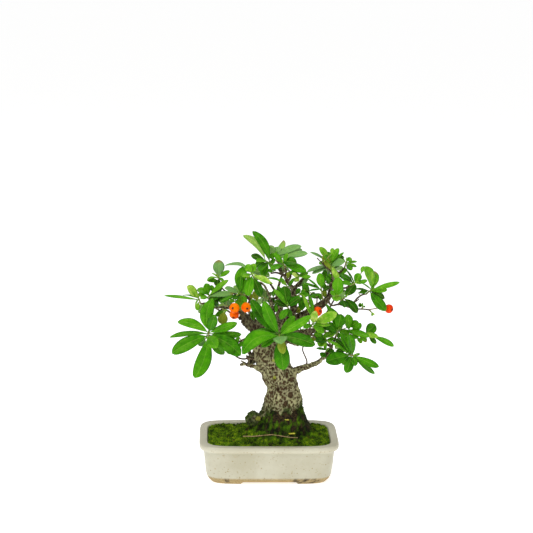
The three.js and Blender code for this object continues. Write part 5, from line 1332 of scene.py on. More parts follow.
@dataclass
class Foliage(Assembly):
    """The leafy sprays, each a finished piece for its CAD node."""

    blade: BladeShape = BladeShape()
    to_viewer: float = 0.75
    along_shoot: float = 0.4
    to_sky: float = 0.35
    far_from: float = 8
    far_share: float = 0.12
    buds_at_end: int = 3
    dried_share: float = 0.06

    def piece(self, name: str, surfaces: list[Surface], nodes: tuple = ()) -> None:
        """Makes a finished piece of leaves and stems, which stands for the nodes."""
        finishes = [self.materials.leaf_upper, self.materials.leaf_under, self.materials.shoot]
        self.writer.piece(name, joined(surfaces), finishes, "leaf", nodes)

    def shoot_ends(self, spray: Spray) -> tuple[np.ndarray, np.ndarray]:
        """Returns the two ends of the green shoot, which starts a little way off its twig."""
        twig_end, before = place(*spray.twig[-1][:3]), place(*spray.twig[-2][:3])
        end = place(*spray.tip)
        heading = unit(end - twig_end)
        slant = math.acos(np.clip(heading @ unit(twig_end - before), -1, 1))
        clear = GAP + 0.1 + (spray.twig[-1][3] / 2 + SHOOT_RADIUS) * math.sin(min(slant, math.pi / 2))
        return twig_end + heading * clear, end

    def outward(self, start: np.ndarray, end: np.ndarray, back: bool) -> np.ndarray:
        """Returns where the upper faces look: to the viewer, along the shoot and to the sky."""
        view = unit(EYE - end) * (-self.to_viewer if back else self.to_viewer)
        return view + unit(end - start) * self.along_shoot + np.array((0, 0, self.to_sky))

    def axes(self, root: np.ndarray, tip: np.ndarray, leaf: Leaf, outward: np.ndarray) -> tuple:
        """Returns a blade's unit vectors across and out of its face."""
        along = unit(tip - root)
        face = unit(outward - along * (outward @ along))
        turn = math.radians(leaf.turn)
        face = face * math.cos(turn) + np.cross(along, face) * math.sin(turn)
        return np.cross(face, along), face

    def off_shoot(self, root: np.ndarray, tip: np.ndarray, heading: np.ndarray) -> np.ndarray:
        """Returns the root moved 0.5 mm out of the shoot's middle, to the leaf's own side."""
        aside = (tip - root) - heading * ((tip - root) @ heading)
        return root + unit(aside) * ROOT_OFFSET

    def found_ends(self, cad: np.ndarray, middle: np.ndarray, leaf: Leaf, near: float,
                   heading: np.ndarray, outward: np.ndarray) -> tuple[np.ndarray, np.ndarray]:
        """Finds the blade's root and tip among the leans it may have.

        The lean kept is the one whose corners at the tip are nearest to the solid's own.

        Args:
            cad: the solid's points.
            middle: where the leaf meets the shoot's middle line.
            leaf: the leaf.
            near: how near the spray's end is.
            heading: unit vector along the shoot.
            outward: where the upper faces look.
        """
        best, least = None, np.inf
        for trial in LEAN_TRIALS:
            tip = place(leaf.across, leaf.up, near + leaf.lean + trial)
            root = self.off_shoot(middle, tip, heading)
            across, face = self.axes(root, tip, leaf, outward)
            wide = LONG_END if np.linalg.norm(tip - root) > LONG_LEAF else SHORT_END
            sides = np.array([(a, b) for a in (-1, 1) for b in (-1, 1)])
            corners = tip + sides[:, :1] * across * leaf.width * wide / 2
            corners = corners + sides[:, 1:] * face * HALF_THICKNESS
            gap = np.linalg.norm(corners[:, None] - cad[None], axis=2).min(axis=1).mean()
            if gap < least:
                best, least = (root, tip), gap
        return best

    def leaf(self, root: np.ndarray, tip: np.ndarray, leaf: Leaf, outward: np.ndarray,
             rng: np.random.Generator) -> Surface:
        """Returns one leaf along the quadratic curve that its solid follows."""
        across, face = self.axes(root, tip, leaf, outward)
        length = np.linalg.norm(tip - root)
        middle = (root + tip) / 2 + face * 2 * BLADE_ARCH * length + across * 2 * leaf.swing * length
        t = np.linspace(0, 1, self.blade.stations)[:, None]
        spine = root * (1 - t) ** 2 + middle * 2 * t * (1 - t) + tip * t**2
        dried = rng.random() < self.dried_share and leaf.tone > 0.5
        brown = 1.0 if dried or leaf.tint is Tint.SHEEN_GREY_DRIED else 0.0
        return self.blade.build(spine, across, face, leaf, brown, rng)

    def round_tip(self, spray: Spray, reach: float, angle: float) -> tuple[float, float]:
        """Returns the across and up of a place at a reach and angle from the spray's end."""
        return spray.tip[0] + reach * math.cos(angle), spray.tip[1] + reach * math.sin(angle)

    def back_leaves(self, spray: Spray, order: int) -> list[Leaf]:
        """Returns the leaves of a back spray, fanned by the golden angle about its end."""
        leaves = []
        for i in range(BACK_LEAVES):
            angle = (i + order) * GOLDEN_ANGLE
            kind = (i + order) % len(BACK_REACH)
            across, up = self.round_tip(spray, BACK_RADIUS, angle)
            tone = 0.25 + 0.15 * kind
            leaves.append(Leaf(across, up, -BACK_REACH[kind], BACK_WIDTH[kind], tone=tone))
        return leaves

    def short_leaves(self, spray: Spray, rng: np.random.Generator) -> list[Leaf]:
        """Returns short leaves that fill a back spray between its long ones."""
        leaves = []
        for _ in range(SHORT_LEAVES):
            angle, reach = rng.uniform(0, 2 * np.pi), rng.uniform(4.5, 8)
            across, up = self.round_tip(spray, reach, angle)
            lean, width, tone = rng.uniform(-9, 2), rng.uniform(3.4, 5), rng.uniform(0.15, 0.5)
            leaves.append(Leaf(across, up, lean, width, tone=tone))
        return leaves

    def buds(self, spray: Spray, start: np.ndarray, end: np.ndarray, outward: np.ndarray,
             rng: np.random.Generator) -> list[Surface]:
        """Returns the tiny new leaves that crowd the end of the shoot."""
        heading = unit(end - start)
        buds = []
        for _ in range(self.buds_at_end):
            aside = unit(rng.normal(size=3)) * 0.75
            tip = end + unit(heading + aside) * rng.uniform(2.2, 4.2)
            leaf = Leaf(0, 0, 0, rng.uniform(1.1, 1.7), tone=rng.uniform(0.7, 0.95))
            buds.append(self.leaf(end - heading * rng.uniform(0, 1.2), tip, leaf, outward, rng))
        return buds

    def grow(self, name: str, spray: Spray, leaves: list[Leaf], order: int) -> None:
        """Makes one spray: its shoot, its leaves where the solid has them, and its smallest ones."""
        rng = np.random.default_rng(SEED + order)
        start, end = self.shoot_ends(spray)
        outward = self.outward(start, end, spray.back)
        node = "spray_" + name
        cad = read_points(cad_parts[node].data) / MM - self.writer.shift
        surfaces = []
        for i, leaf in enumerate(leaves):
            middle = end + (start - end) * spray.spread * i / max(len(leaves) - 1, 1)
            root, tip = self.found_ends(cad, middle, leaf, spray.tip[2], unit(end - start), outward)
            surfaces.append(self.leaf(root, tip, leaf, outward, rng))
        small = self.short_leaves(spray, rng) if spray.back else [Leaf(*row) for row in spray.small]
        for leaf in small:
            root = place(*leaf.root) if leaf.root else end + (start - end) * rng.uniform(0.1, 0.5)
            tip = place(leaf.across, leaf.up, (leaf.root[2] if leaf.root else spray.tip[2]) + leaf.lean)
            surfaces.append(self.leaf(root, tip, leaf, outward, rng))
        surfaces += self.buds(spray, start, end, outward, rng)
        corners = (place(*spray.twig[-1][:3]), start, (start + end) / 2, end)
        shoot = self.stem(corners, (0.75, 0.5), surfaces[0].values)
        self.piece("leaves_" + name, [*surfaces, shoot], (node,))

    def stem(self, corners: tuple, radii: tuple, names: dict) -> Surface:
        """Returns a green stem through the corners, from the first radius to the second."""
        line = catmull_rom(np.array(corners), 4)
        stem = tube(line, np.linspace(*radii, len(line)), 8).plain(names, 2)
        stem.uv = np.zeros((len(stem.points), 2))
        return stem

    def twig_points(self) -> np.ndarray:
        """Returns close points along every limb and twig: across, up and near."""
        share = np.linspace(0, 1, 21)[:, None]
        pairs = [np.array((a[:3], b[:3])) for path in wood_paths() for a, b in zip(path, path[1:])]
        return np.vstack([a + (b - a) * share for a, b in pairs])

    def singles(self) -> None:
        """Makes the single leaves, each on a stalk from the twig that is seen nearest to its root.

        Twigs more than 8 mm behind the middle count as farther off by 0.12 of what is over.
        """
        rng = np.random.default_rng(SEED + 77)
        twigs = self.twig_points()
        behind = self.far_share * np.maximum(-twigs[:, 2] - self.far_from, 0)
        surfaces = []
        for leaf in SINGLES:
            gap = np.hypot(twigs[:, 0] - leaf.root[0], twigs[:, 1] - leaf.root[1]) + behind
            foot = twigs[np.argmin(gap)]
            near = float(np.clip(foot[2], *SINGLE_NEAR)) - 1
            root, tip = place(*leaf.root, near), place(leaf.across, leaf.up, near + leaf.lean)
            outward = unit(EYE - root) * self.to_viewer + np.array((0, 0, self.to_sky))
            blade = self.leaf(root, tip, leaf, outward, rng)
            surfaces += [blade, self.stem((place(*foot), root), (0.45, 0.35), blade.values)]
        self.piece("single_leaves", surfaces)

    def build(self) -> None:
        """Makes every spray of the front and of the back."""
        for order, (name, spray) in enumerate(SPRAYS.items()):
            self.grow(name, spray, [Leaf(*row) for row in spray.leaves], order)
        for order, spray in enumerate(BACK_SPRAYS):
            self.grow(f"back_{order + 1}", spray, self.back_leaves(spray, order), 100 + order)
        self.singles()


# Trunk, roots and twigs

MOUND_CENTRE = np.array((12.4, 0.0))
KNOB = np.array((-12.8, -2.0, 47.9))
KNOB_RADIUS = 6.2
# Old wounds of the trunk: across, up and reach
HOLLOWS = (
    (18.4, 69, 3.2), (14.4, 61.5, 2.6), (19.6, 82, 2.8), (3, 92, 2.2), (8, 74, 1.8),
)
# Dark burrs on the left of the trunk and of its limb: across, up, near and radius
BURRS = (
    (-13.4, 99.6, 3, 2.5), (-15.2, 102, 3, 1.5), (-15.4, 97.2, 4, 1.7), (-17, 98.8, 4, 1.2),
    (-12.8, 94.6, 3, 1.8), (-15.6, 94.4, 4, 1.1), (-20.4, 127.4, 5, 1.3), (-23.8, 131.2, 5, 1.3),
    (-16.8, 124.2, 5, 1.6), (-12.6, 121.4, 4, 1.8), (-18.2, 132, 5, 1.5),
)
# Yellow-green lichen: across, up and reach
LICHENS = (
    (-8, 47.6, 2.6), (20.5, 45, 1.4), (5, 84.5, 1.6), (4, 99, 1.5),
)


@dataclass(frozen=True)
class BarkRelief:
    """Heights of the bark's relief in mm: lumps, ridges, and the small pits of old bark."""

    lumps: float = 0.9
    ridges: float = 0.5
    knots: float = 0.8
    grain: float = 0.3
    pits: float = 0.8
    pit_cell: float = 2.1
    wounds: float = 2.2
    knob_lumps: float = 1.1
    burr_grain: float = 0.7

    def shape(self, surface: Surface, normals: np.ndarray) -> Surface:
        """Moves each point along its normal, and stores what the bark's material needs.

        The height is lumps at 9 mm, knots at 3.4 mm, ridges drawn out up the trunk at 2.6 mm and
        grain at 1 mm, less a pit in half of the 2.1 mm cells, and less the hollows of old wounds.

        Args:
            surface: the fused skin of the wood.
            normals: unit vectors at its points.
        """
        points = surface.points
        height = points[:, 2] - DRAWING_BASE
        age = smooth_step(132, 96, height) * 0.45 + 0.55
        ridge = 1 - 2 * np.abs(drawn_noise(points, 0.4, 2.6, 5))
        grain = layered_noise(points, 1.1, 9, 2)
        lump = layered_noise(points, 9, 3, 2)
        knot = layered_noise(points, 3.4, 13, 2)
        distance, own = cell_spots(points * np.array((1, 1, 0.72)), self.pit_cell, 21)
        pit = smooth_step(0.5, 0.28, distance + 0.14 * grain) * smooth_step(0.4, 0.6, own)
        hollow = in_spots(points, HOLLOWS, 0.35) * (points[:, 1] < 1)
        lichen = in_spots(points, LICHENS, 0.5, 0.8 * grain)
        from_knob = np.linalg.norm(points - KNOB, axis=1)
        at_knob = smooth_step(KNOB_RADIUS + 3, KNOB_RADIUS, from_knob)
        on_knob = smooth_step(KNOB_RADIUS + 1, KNOB_RADIUS - 1, from_knob)
        middles = np.array([place(*entry[:3]) for entry in BURRS])
        to_burr = np.linalg.norm(points[:, None] - middles[None], axis=2).min(axis=1)
        burr = smooth_step(5, 2, to_burr + 2 * knot)
        rise = self.lumps * lump + self.knots * knot + self.ridges * ridge + self.grain * grain
        rise = age * rise + self.knob_lumps * at_knob * layered_noise(points, 4.4, 47, 2)
        rise += self.burr_grain * burr * grain - self.pits * pit - self.wounds * hollow
        foot = smooth_step(64, 50, height + 7 * drawn_noise(points, 0.5, 5, 31))
        patch = smooth_step(-0.5, 0.2, drawn_noise(points, 0.45, 4, 37))
        left_limb = smooth_step(-6, -14, points[:, 0]) * smooth_step(114, 120, height)
        dim = (0.55 + 0.4 * left_limb) * smooth_step(92, 112, height + 5 * lump)
        surface.values = {
            "pit": np.clip(pit + 0.9 * hollow, 0, 1),
            "high": np.clip(0.5 + 0.5 * ridge + 0.3 * lump, 0, 1),
            "age": age, "lichen": 0.8 * lichen,
            "moss": np.clip(foot * (0.2 + patch), 0, 1) * (1 - lichen) * (1 - 0.25 * at_knob),
            "shade": np.maximum(dim, np.maximum(burr, 0.9 * on_knob)),
            "rough": np.ones(len(points)),
        }
        surface.points = points + normals * rise[:, None]
        return surface


def moss_spikes(roots: np.ndarray, normals: np.ndarray, rng: np.random.Generator, spread: float,
                length: tuple = (0.7, 1.7), radius: float = 0.26) -> Surface:
    """Returns slender three-sided spikes of moss.

    Args:
        roots: where each stands, in mm.
        normals: unit vectors out of the ground there.
        rng: random numbers.
        spread: how far they lean every way, as a share of their length.
        length: the shortest and the longest.
        radius: half their width at the root.
    """
    count = len(roots)
    lean = unit(normals + spread * rng.normal(size=(count, 3)))
    foot = roots - normals * 0.3
    side = unit(np.cross(lean, rng.normal(size=(count, 3))))
    other = np.cross(lean, side)
    corners = [foot + lean * (rng.uniform(*length, (count, 1)) + 0.3)]
    for angle in full_turn(3):
        corners.append(foot + radius * (side * math.cos(angle) + other * math.sin(angle)))
    base = 4 * np.arange(count)[:, None, None]
    pattern = np.array(((0, 1, 2, -1), (0, 2, 3, -1), (0, 3, 1, -1), (1, 3, 2, -1)))[None]
    faces = np.where(pattern < 0, -1, pattern + base).reshape(-1, 4)
    # painted shade: each spike is dark at its foot and brighter at its tip, by a random amount
    bright = 0.3 + 0.75 * rng.random((count, 1)) ** 1.4
    tip = np.concatenate((bright, np.full((count, 3), 0.12)), axis=1).ravel()
    values = {"tip": tip, "earth": np.zeros(len(tip))}
    return Surface(np.stack(corners, axis=1).reshape(-1, 3), faces, values).outward()


def painted_moss_light(points: np.ndarray) -> np.ndarray:
    """Returns the painted light of the moss: 1.25 on the level bed, 0.55 in painted shade on the mound's
    front and right.
    """
    on_mound = smooth_step(-14, -5, points[..., 0]) * smooth_step(34.5, 39, points[..., 2])
    return 1.25 - 0.7 * on_mound


def fused(surfaces: list[Surface], voxel: float) -> tuple[Surface, np.ndarray]:
    """Fuses closed surfaces into one skin of even quads, voxel mm wide.

    Args:
        surfaces: the closed surfaces that overlap.
        voxel: the quads' width in mm.

    Returns:
        The skin and the unit normals at its points.
    """
    whole = joined(surfaces)
    mesh = bpy.data.meshes.new("fusing")
    faces = [[int(corner) for corner in face if corner >= 0] for face in whole.faces]
    mesh.from_pydata((whole.points * MM).tolist(), [], faces)
    lump = add_object("fusing", mesh)
    remesh = lump.modifiers.new("fuse", "REMESH")
    remesh.mode = "VOXEL"
    remesh.voxel_size = voxel * MM
    shaped = lump.evaluated_get(bpy.context.evaluated_depsgraph_get()).to_mesh()
    points, normals = read_points(shaped), read_points(shaped, "normal")
    corners = read_whole(shaped.loops, "vertex_index")
    sizes = read_whole(shaped.polygons, "loop_total")
    quads = np.full((len(sizes), 4), -1)
    place_in_face = np.arange(len(corners)) - np.repeat(np.cumsum(sizes) - sizes, sizes)
    quads[np.repeat(np.arange(len(sizes)), sizes), place_in_face] = corners
    lump.to_mesh_clear()
    bpy.data.objects.remove(lump)
    bpy.data.meshes.remove(mesh)
    return Surface(points / MM, quads), unit(normals)


@dataclass
class Wood(Assembly):
    """The trunk, its roots and thick limbs as one skin, and the thin twigs as tubes.

    A root runs out from the mound's middle: its heading in degrees, its reach and its end's
    height. It sinks through the root heights, each a share of the reach and a height, and
    thins through the root radii in even steps.
    """

    trunk_depth: tuple = (0.67, 0.85)
    trunk_depth_heights: tuple = (46, 82)
    trunk_lumps: float = 0.8
    trunk_inset: float = 0.35
    root_runs: tuple = (
        (18, 34, 17), (84, 24, 15), (152, 36, 18), (208, 33, 16), (322, 32, 17), (182, 26, 24),
    )
    root_heights: tuple = ((0.1, 34), (0.5, 29), (0.8, 24))
    root_radii: tuple = (6, 4, 2.6, 1.3)
    root_flatness: float = 0.72
    core_diameter: float = 3.4
    skin_width: float = 0.58
    knobbliness: float = 0.06
    fringe_share: float = 0.5

    def trunk(self) -> Surface:
        """A stack of rings through the trunk's outline.

        At each height the half width carries three sines of the angle as lumps, and the depth is a
        share of the width that grows from 0.67 at the foot to 0.85 above.
        """
        outline = catmull_rom(np.array(TRUNK_OUTLINE, float), 6)
        height, left, right = (outline[:, k, None] for k in range(3))
        half = (right - left) / 2
        angle = full_turn(72)[None]
        lumps = self.trunk_lumps * (
            np.sin(3 * angle + 0.21 * height) + 0.8 * np.sin(5 * angle - 0.33 * height + 1.3)
            + 0.6 * np.sin(2 * angle + 0.5 * height + 2.1)
        ) / 1.6
        low, high = self.trunk_depth
        depth = low + (high - low) * smooth_step(*self.trunk_depth_heights, height)
        reach = half + lumps - self.trunk_inset
        x = (left + right) / 2 - POT_MIDDLE_X + reach * np.cos(angle)
        y = reach * depth * np.sin(angle)
        return ring_solid(np.stack((x, y, height + DRAWING_BASE + 0 * angle), axis=-1))

    def roots(self) -> list[Surface]:
        """The roots that run down from the foot of the trunk, and the knob on its left."""
        tubes = []
        for heading, reach, end in self.root_runs:
            angle = math.radians(heading)
            way = np.array((math.cos(angle), self.root_flatness * math.sin(angle)))
            line = np.array([
                (*(MOUND_CENTRE + share * reach * way), z) for share, z in (*self.root_heights, (1, end))
            ])
            radii = np.interp(np.linspace(0, 3, 19), range(4), self.root_radii)
            tubes.append(tube(catmull_rom(line, 6), radii, 14))
        tubes.append(ball(KNOB, (-1.0, 0, 0.1), KNOB_RADIUS, 13, 20))
        trunk = np.array((*MOUND_CENTRE, KNOB[2] - 6))
        steps = np.linspace(0, 1, 7)[:, None]
        tubes.append(tube(trunk + (KNOB - trunk) * steps, KNOB_RADIUS * np.linspace(1, 0.7, 7), 16))
        return tubes

    def limb(self, path: tuple, seed: int, sides: int) -> Surface:
        """A limb along a smooth curve, knobbly by 6 % of its radius and rounded off at its end."""
        line = catmull_rom(np.array([place(*entry[:3]) for entry in path]), 5)
        along = np.linspace(0, len(path) - 1, len(line))
        radii = np.interp(along, range(len(path)), [entry[3] / 2 for entry in path])
        radii = radii * (1 + self.knobbliness * layered_noise(line, 3, seed, 2))
        end = line[-1] + unit(line[-1] - line[-2]) * radii[-1] * 0.4
        line = np.vstack((line, end))
        radii = np.append(radii, radii[-1] * 0.6)
        age = np.interp(radii, (0.5, 1.6), (0.05, 0.4))
        zero = np.zeros(len(line))
        high = 0.5 + 0.4 * layered_noise(line, 2, seed + 3, 2)
        shade = smooth_step(90, 112, line[:, 2]) * 0.6
        values = {
            "pit": zero, "high": high, "age": age, "moss": zero, "lichen": zero, "shade": shade,
            "rough": np.interp(radii, (0.8, 1.6), (0, 0.8)),
        }
        return tube(line, radii, sides, values)

    def fringe(self, skin: Surface, normals: np.ndarray) -> Surface:
        """Returns the moss that stands on the foot of the trunk, thick where its bark is mossy."""
        rng = np.random.default_rng(SEED + 3)
        clump = 0.25 + 0.75 * smooth_step(-0.2, 0.3, layered_noise(skin.points, 1.8, 57, 2))
        chosen = rng.random(len(skin.points)) < self.fringe_share * skin.values["moss"] * clump
        fringe = moss_spikes(skin.points[chosen], normals[chosen], rng, 0.55, (0.5, 1.3))
        # painted shade: the fringe is darker on the mound's front and right
        fringe.values["tip"] = fringe.values["tip"] * painted_moss_light(fringe.points)
        return fringe

    def build(self) -> None:
        """Makes both finished pieces of the wood."""
        paths = wood_paths()
        thick = [max(entry[3] for entry in path) > self.core_diameter for path in paths]
        core = [self.trunk(), *self.roots()]
        core += [self.limb(path, k, 16) for k, path in enumerate(paths) if thick[k]]
        core += [ball(place(*entry[:3]), (0, 0, 1.0), entry[3], 9, 12) for entry in BURRS]
        skin, normals = fused(core, self.skin_width)
        skin = BarkRelief().shape(skin, normals)
        self.writer.piece("trunk_bark", skin, [self.materials.bark], "bark", ("wood",))
        fringe = self.fringe(skin, normals)
        self.writer.piece("moss_fringe", fringe, [self.materials.moss], "moss", ("wood",))
        twigs = [self.limb(path, 50 + k, 8) for k, path in enumerate(paths) if not thick[k]]
        self.writer.piece("twigs", joined(twigs), [self.materials.twig_bark], "bark", ("wood",))


# Pot, moss and what lies on it

POT_HALF_WIDTH = 57.5
DEPTH_LESS = 19.5
RIM_INSIDE = 50.9
POT_SQUARENESS = 6.3
SOIL_TOP = 30.4
MOSS_EDGE = 32.7
MOUND_RISE = 24.5
MOUND_RADIUS = (15.5, 12.2)
MOUND_FALL = 1.25
MOUND_FADE_X = (11, 6.5)
MOUND_FADE_Y = (3.6, 5)


def plan_share(flat: np.ndarray, half_width: np.ndarray | float) -> np.ndarray:
    """Returns |x / a|^6.3 + |y / b|^6.3, which is below 1 inside the pot's plan.

    Args:
        flat: places in plan, shape (..., 2).
        half_width: the plan's half width a; its half depth b is 19.5 mm less.
    """
    across = np.abs(flat[..., 0] / half_width) ** POT_SQUARENESS
    return across + np.abs(flat[..., 1] / (half_width - DEPTH_LESS)) ** POT_SQUARENESS


def plan_reach(half_width: np.ndarray, direction: np.ndarray) -> np.ndarray:
    """Returns the points of the pot's plan in the given directions from its middle.

    It is the superellipse on which plan_share is 1.
    """
    way = np.stack((np.cos(direction), np.sin(direction)), axis=-1)
    return way * (plan_share(way, half_width) ** (-1 / POT_SQUARENESS))[..., None]


def even_directions(count: int) -> np.ndarray:
    """Returns directions whose points lie evenly along the pot's edge."""
    dense = np.linspace(0, 2 * np.pi, 6001)
    edge = plan_reach(np.full(len(dense), float(POT_HALF_WIDTH)), dense)
    walked = np.concatenate(([0], np.cumsum(np.linalg.norm(np.diff(edge, axis=0), axis=1))))
    return np.interp(np.linspace(0, walked[-1], count, endpoint=False), walked, dense)


@dataclass
class Pot(Assembly):
    """A rectangular pot with rounded corners, a rolled rim and a recessed foot with arches.

    The profile is half widths and heights from the middle of the underside round to the middle
    of the floor. The inner wall is its half width, how much that grows with each mm, and the
    height it has it at. The dark blotches are across and reach on the front of the foot.
    """

    profile: tuple = (
        (1, 3), (20.4, 3), (30, 3), (38.6, 3), (39, 2.9), (39.3, 2.4), (39.8, 0.5), (40.2, 0),
        (43, 0), (47.3, 0), (48, 0.3), (49.1, 1.6), (50.4, 3.3), (51.2, 4.9), (51.8, 6.6),
        (52.7, 13), (53.5, 20.5), (54.1, 26.8),
        (54.5, 28.1), (55.5, 28.9), (57, 29.7), (57.45, 30.4), (57.5, 31.8), (57.25, 33.2), (56.7, 33.9),
        (55.9, 34.05), (54, 34), (52, 34), (51.3, 33.8), (50.9, 33.2), (49.5, 25), (48, 18), (46.4, 11),
        (45.8, 9), (44.5, 8), (30, 8), (20.4, 8), (1, 8),
    )
    directions: int = 300
    least: float = DEPTH_LESS + 1
    front_arch: float = 22.5
    side_arch: float = 11
    arch_height: float = 2
    drain_x: float = 24
    drain_radius: float = 4.5
    wobble: float = 0.12
    glaze_edge: tuple = (5.6, 5)
    rim_highlight_heights: tuple = (28, 30.5)
    inner_wall: tuple = (46.4, 0.2, 9)
    inside_heights: tuple = (7, 31)
    inside_bare: float = 0.6
    dark_blotches: tuple = ((24, 5), (31, 3.5), (37.5, 5), (-33.5, 2.4))

    def rings(self) -> np.ndarray:
        """Returns the pot's rings, from the middle of the underside round to the floor's middle.

        Each ring is the plan at the profile's half width. Below the arches the foot is lifted to
        their height, and a wobble of 0.12 mm shows that the wall was pressed by hand.
        """
        profile = np.array(self.profile, float)
        steps = np.maximum(1, np.ceil(np.abs(np.diff(profile, axis=0)).max(axis=1) / 2.2)).astype(int)
        parts = [
            start + (end - start) * np.arange(n)[:, None] / n
            for start, end, n in zip(profile, profile[1:], steps)
        ]
        half, z = np.vstack((*parts, profile[-1:])).T
        way = even_directions(self.directions)
        width = np.maximum(half, self.least)
        flat = plan_reach(width[:, None], way[None]) * np.minimum(half / self.least, 1)[:, None, None]
        front = smooth_step(self.front_arch + 1, self.front_arch - 1, np.abs(flat[..., 0] - 0.3))
        side = smooth_step(self.side_arch + 1, self.side_arch - 1, np.abs(flat[..., 1]))
        lift = self.arch_height * np.maximum(front, side)
        height = np.maximum(z[:, None], np.where(z[:, None] < self.arch_height, lift, 0))
        rings = np.concatenate((flat, height[..., None]), axis=-1)
        wobble = layered_noise(rings.reshape(-1, 3), 16, 61, 2).reshape(height.shape)
        outer = smooth_step(44, 48, half)[:, None]
        out = unit(np.concatenate((flat, np.zeros_like(height)[..., None]), axis=-1))
        return rings + out * (self.wobble * wobble * outer)[..., None]

    def drilled(self, surface: Surface) -> Surface:
        """Returns the pot with its two drain holes."""
        cutters = []
        for x in (-self.drain_x, self.drain_x):
            line = np.array(((x, 0, -4.0), (x, 0, 14.0)))
            cutters.append(tube(line, np.full(2, self.drain_radius), 40))
        solid = add_object("drilling", self.writer.mesh("drilling", surface))
        drill = add_object("drills", self.writer.mesh("drills", joined(cutters)))
        cut = solid.modifiers.new("drill", "BOOLEAN")
        cut.operation = "DIFFERENCE"
        cut.object = drill
        shaped = solid.evaluated_get(bpy.context.evaluated_depsgraph_get()).to_mesh()
        shaped.calc_loop_triangles()
        points = read_points(shaped)
        corners = read_whole(shaped.loop_triangles, "vertices", 3).reshape(-1, 3)
        solid.to_mesh_clear()
        bpy.data.objects.remove(solid)
        bpy.data.objects.remove(drill)
        faces = np.column_stack((corners, np.full(len(corners), -1)))
        return Surface(points / MM - self.writer.shift, faces)

    def build(self) -> None:
        """Makes the pot's finished piece, and stores where it is bare, where its foot has dark blotches,
        and where its rolled rim has a painted highlight.
        """
        pot = self.drilled(ring_solid(self.rings()))
        height = pot.points[:, 2]
        ragged = height + 0.5 * layered_noise(pot.points, 5, 71, 3)
        half, growth, level = self.inner_wall
        low, high = self.inside_heights
        wall = half + growth * (height - level)
        inside = (plan_share(pot.points[:, :2], wall) < 1.1) & (height > low) & (height < high)
        bare = np.maximum(smooth_step(*self.glaze_edge, ragged), self.inside_bare * inside)
        # darker blotches along the front of the foot, at the given places
        stain = np.zeros(len(height))
        uneven = 1.2 * layered_noise(pot.points, 2.4, 77, 2)
        for across, reach in self.dark_blotches:
            gap = np.abs(pot.points[:, 0] + POT_MIDDLE_X - across) + uneven
            stain = np.maximum(stain, smooth_step(reach, 0.5 * reach, gap))
        blot = smooth_step(-0.25, 0.05, layered_noise(pot.points, 1.8, 79, 2))
        foot = smooth_step(5.4, 4.4, ragged) * smooth_step(0.1, 0.8, height) * (pot.points[:, 1] < 0)
        # painted highlight on the rolled rim, from 28 mm up
        rim = smooth_step(*self.rim_highlight_heights, height)
        pot.values = {"bare": bare, "stain": stain * blot * foot, "rim": rim}
        self.writer.piece("glazed_pot", pot, [self.materials.glaze], "glazed_stoneware", ("pot",))


def moss_height(x: np.ndarray, y: np.ndarray) -> np.ndarray:
    """Returns the moss's height over the pot's foot.

    Level moss with soft bumps, and a mound over an ellipse at the foot of the trunk that falls
    away outside it by exp(-(distance / fade)^1.25).
    """
    bumps = 0.5 * np.sin(0.42 * x + 1.1) * np.cos(0.51 * y) + 0.35 * np.sin(0.9 * x - 0.7 * y)
    across, along = (x - MOUND_CENTRE[0]) / MOUND_RADIUS[0], (y - MOUND_CENTRE[1]) / MOUND_RADIUS[1]
    share = np.hypot(across, along)
    away = np.hypot(x - MOUND_CENTRE[0], y - MOUND_CENTRE[1]) * (1 - 1 / np.maximum(share, 1))
    fade_x, fade_y = np.where(across < 0, *MOUND_FADE_X), np.where(along < 0, *MOUND_FADE_Y)
    total = np.maximum(np.abs(across) + np.abs(along), 1e-6)
    fade = (fade_x * np.abs(across) + fade_y * np.abs(along)) / total
    return MOSS_EDGE + bumps + MOUND_RISE * np.exp(-((away / fade) ** MOUND_FALL))


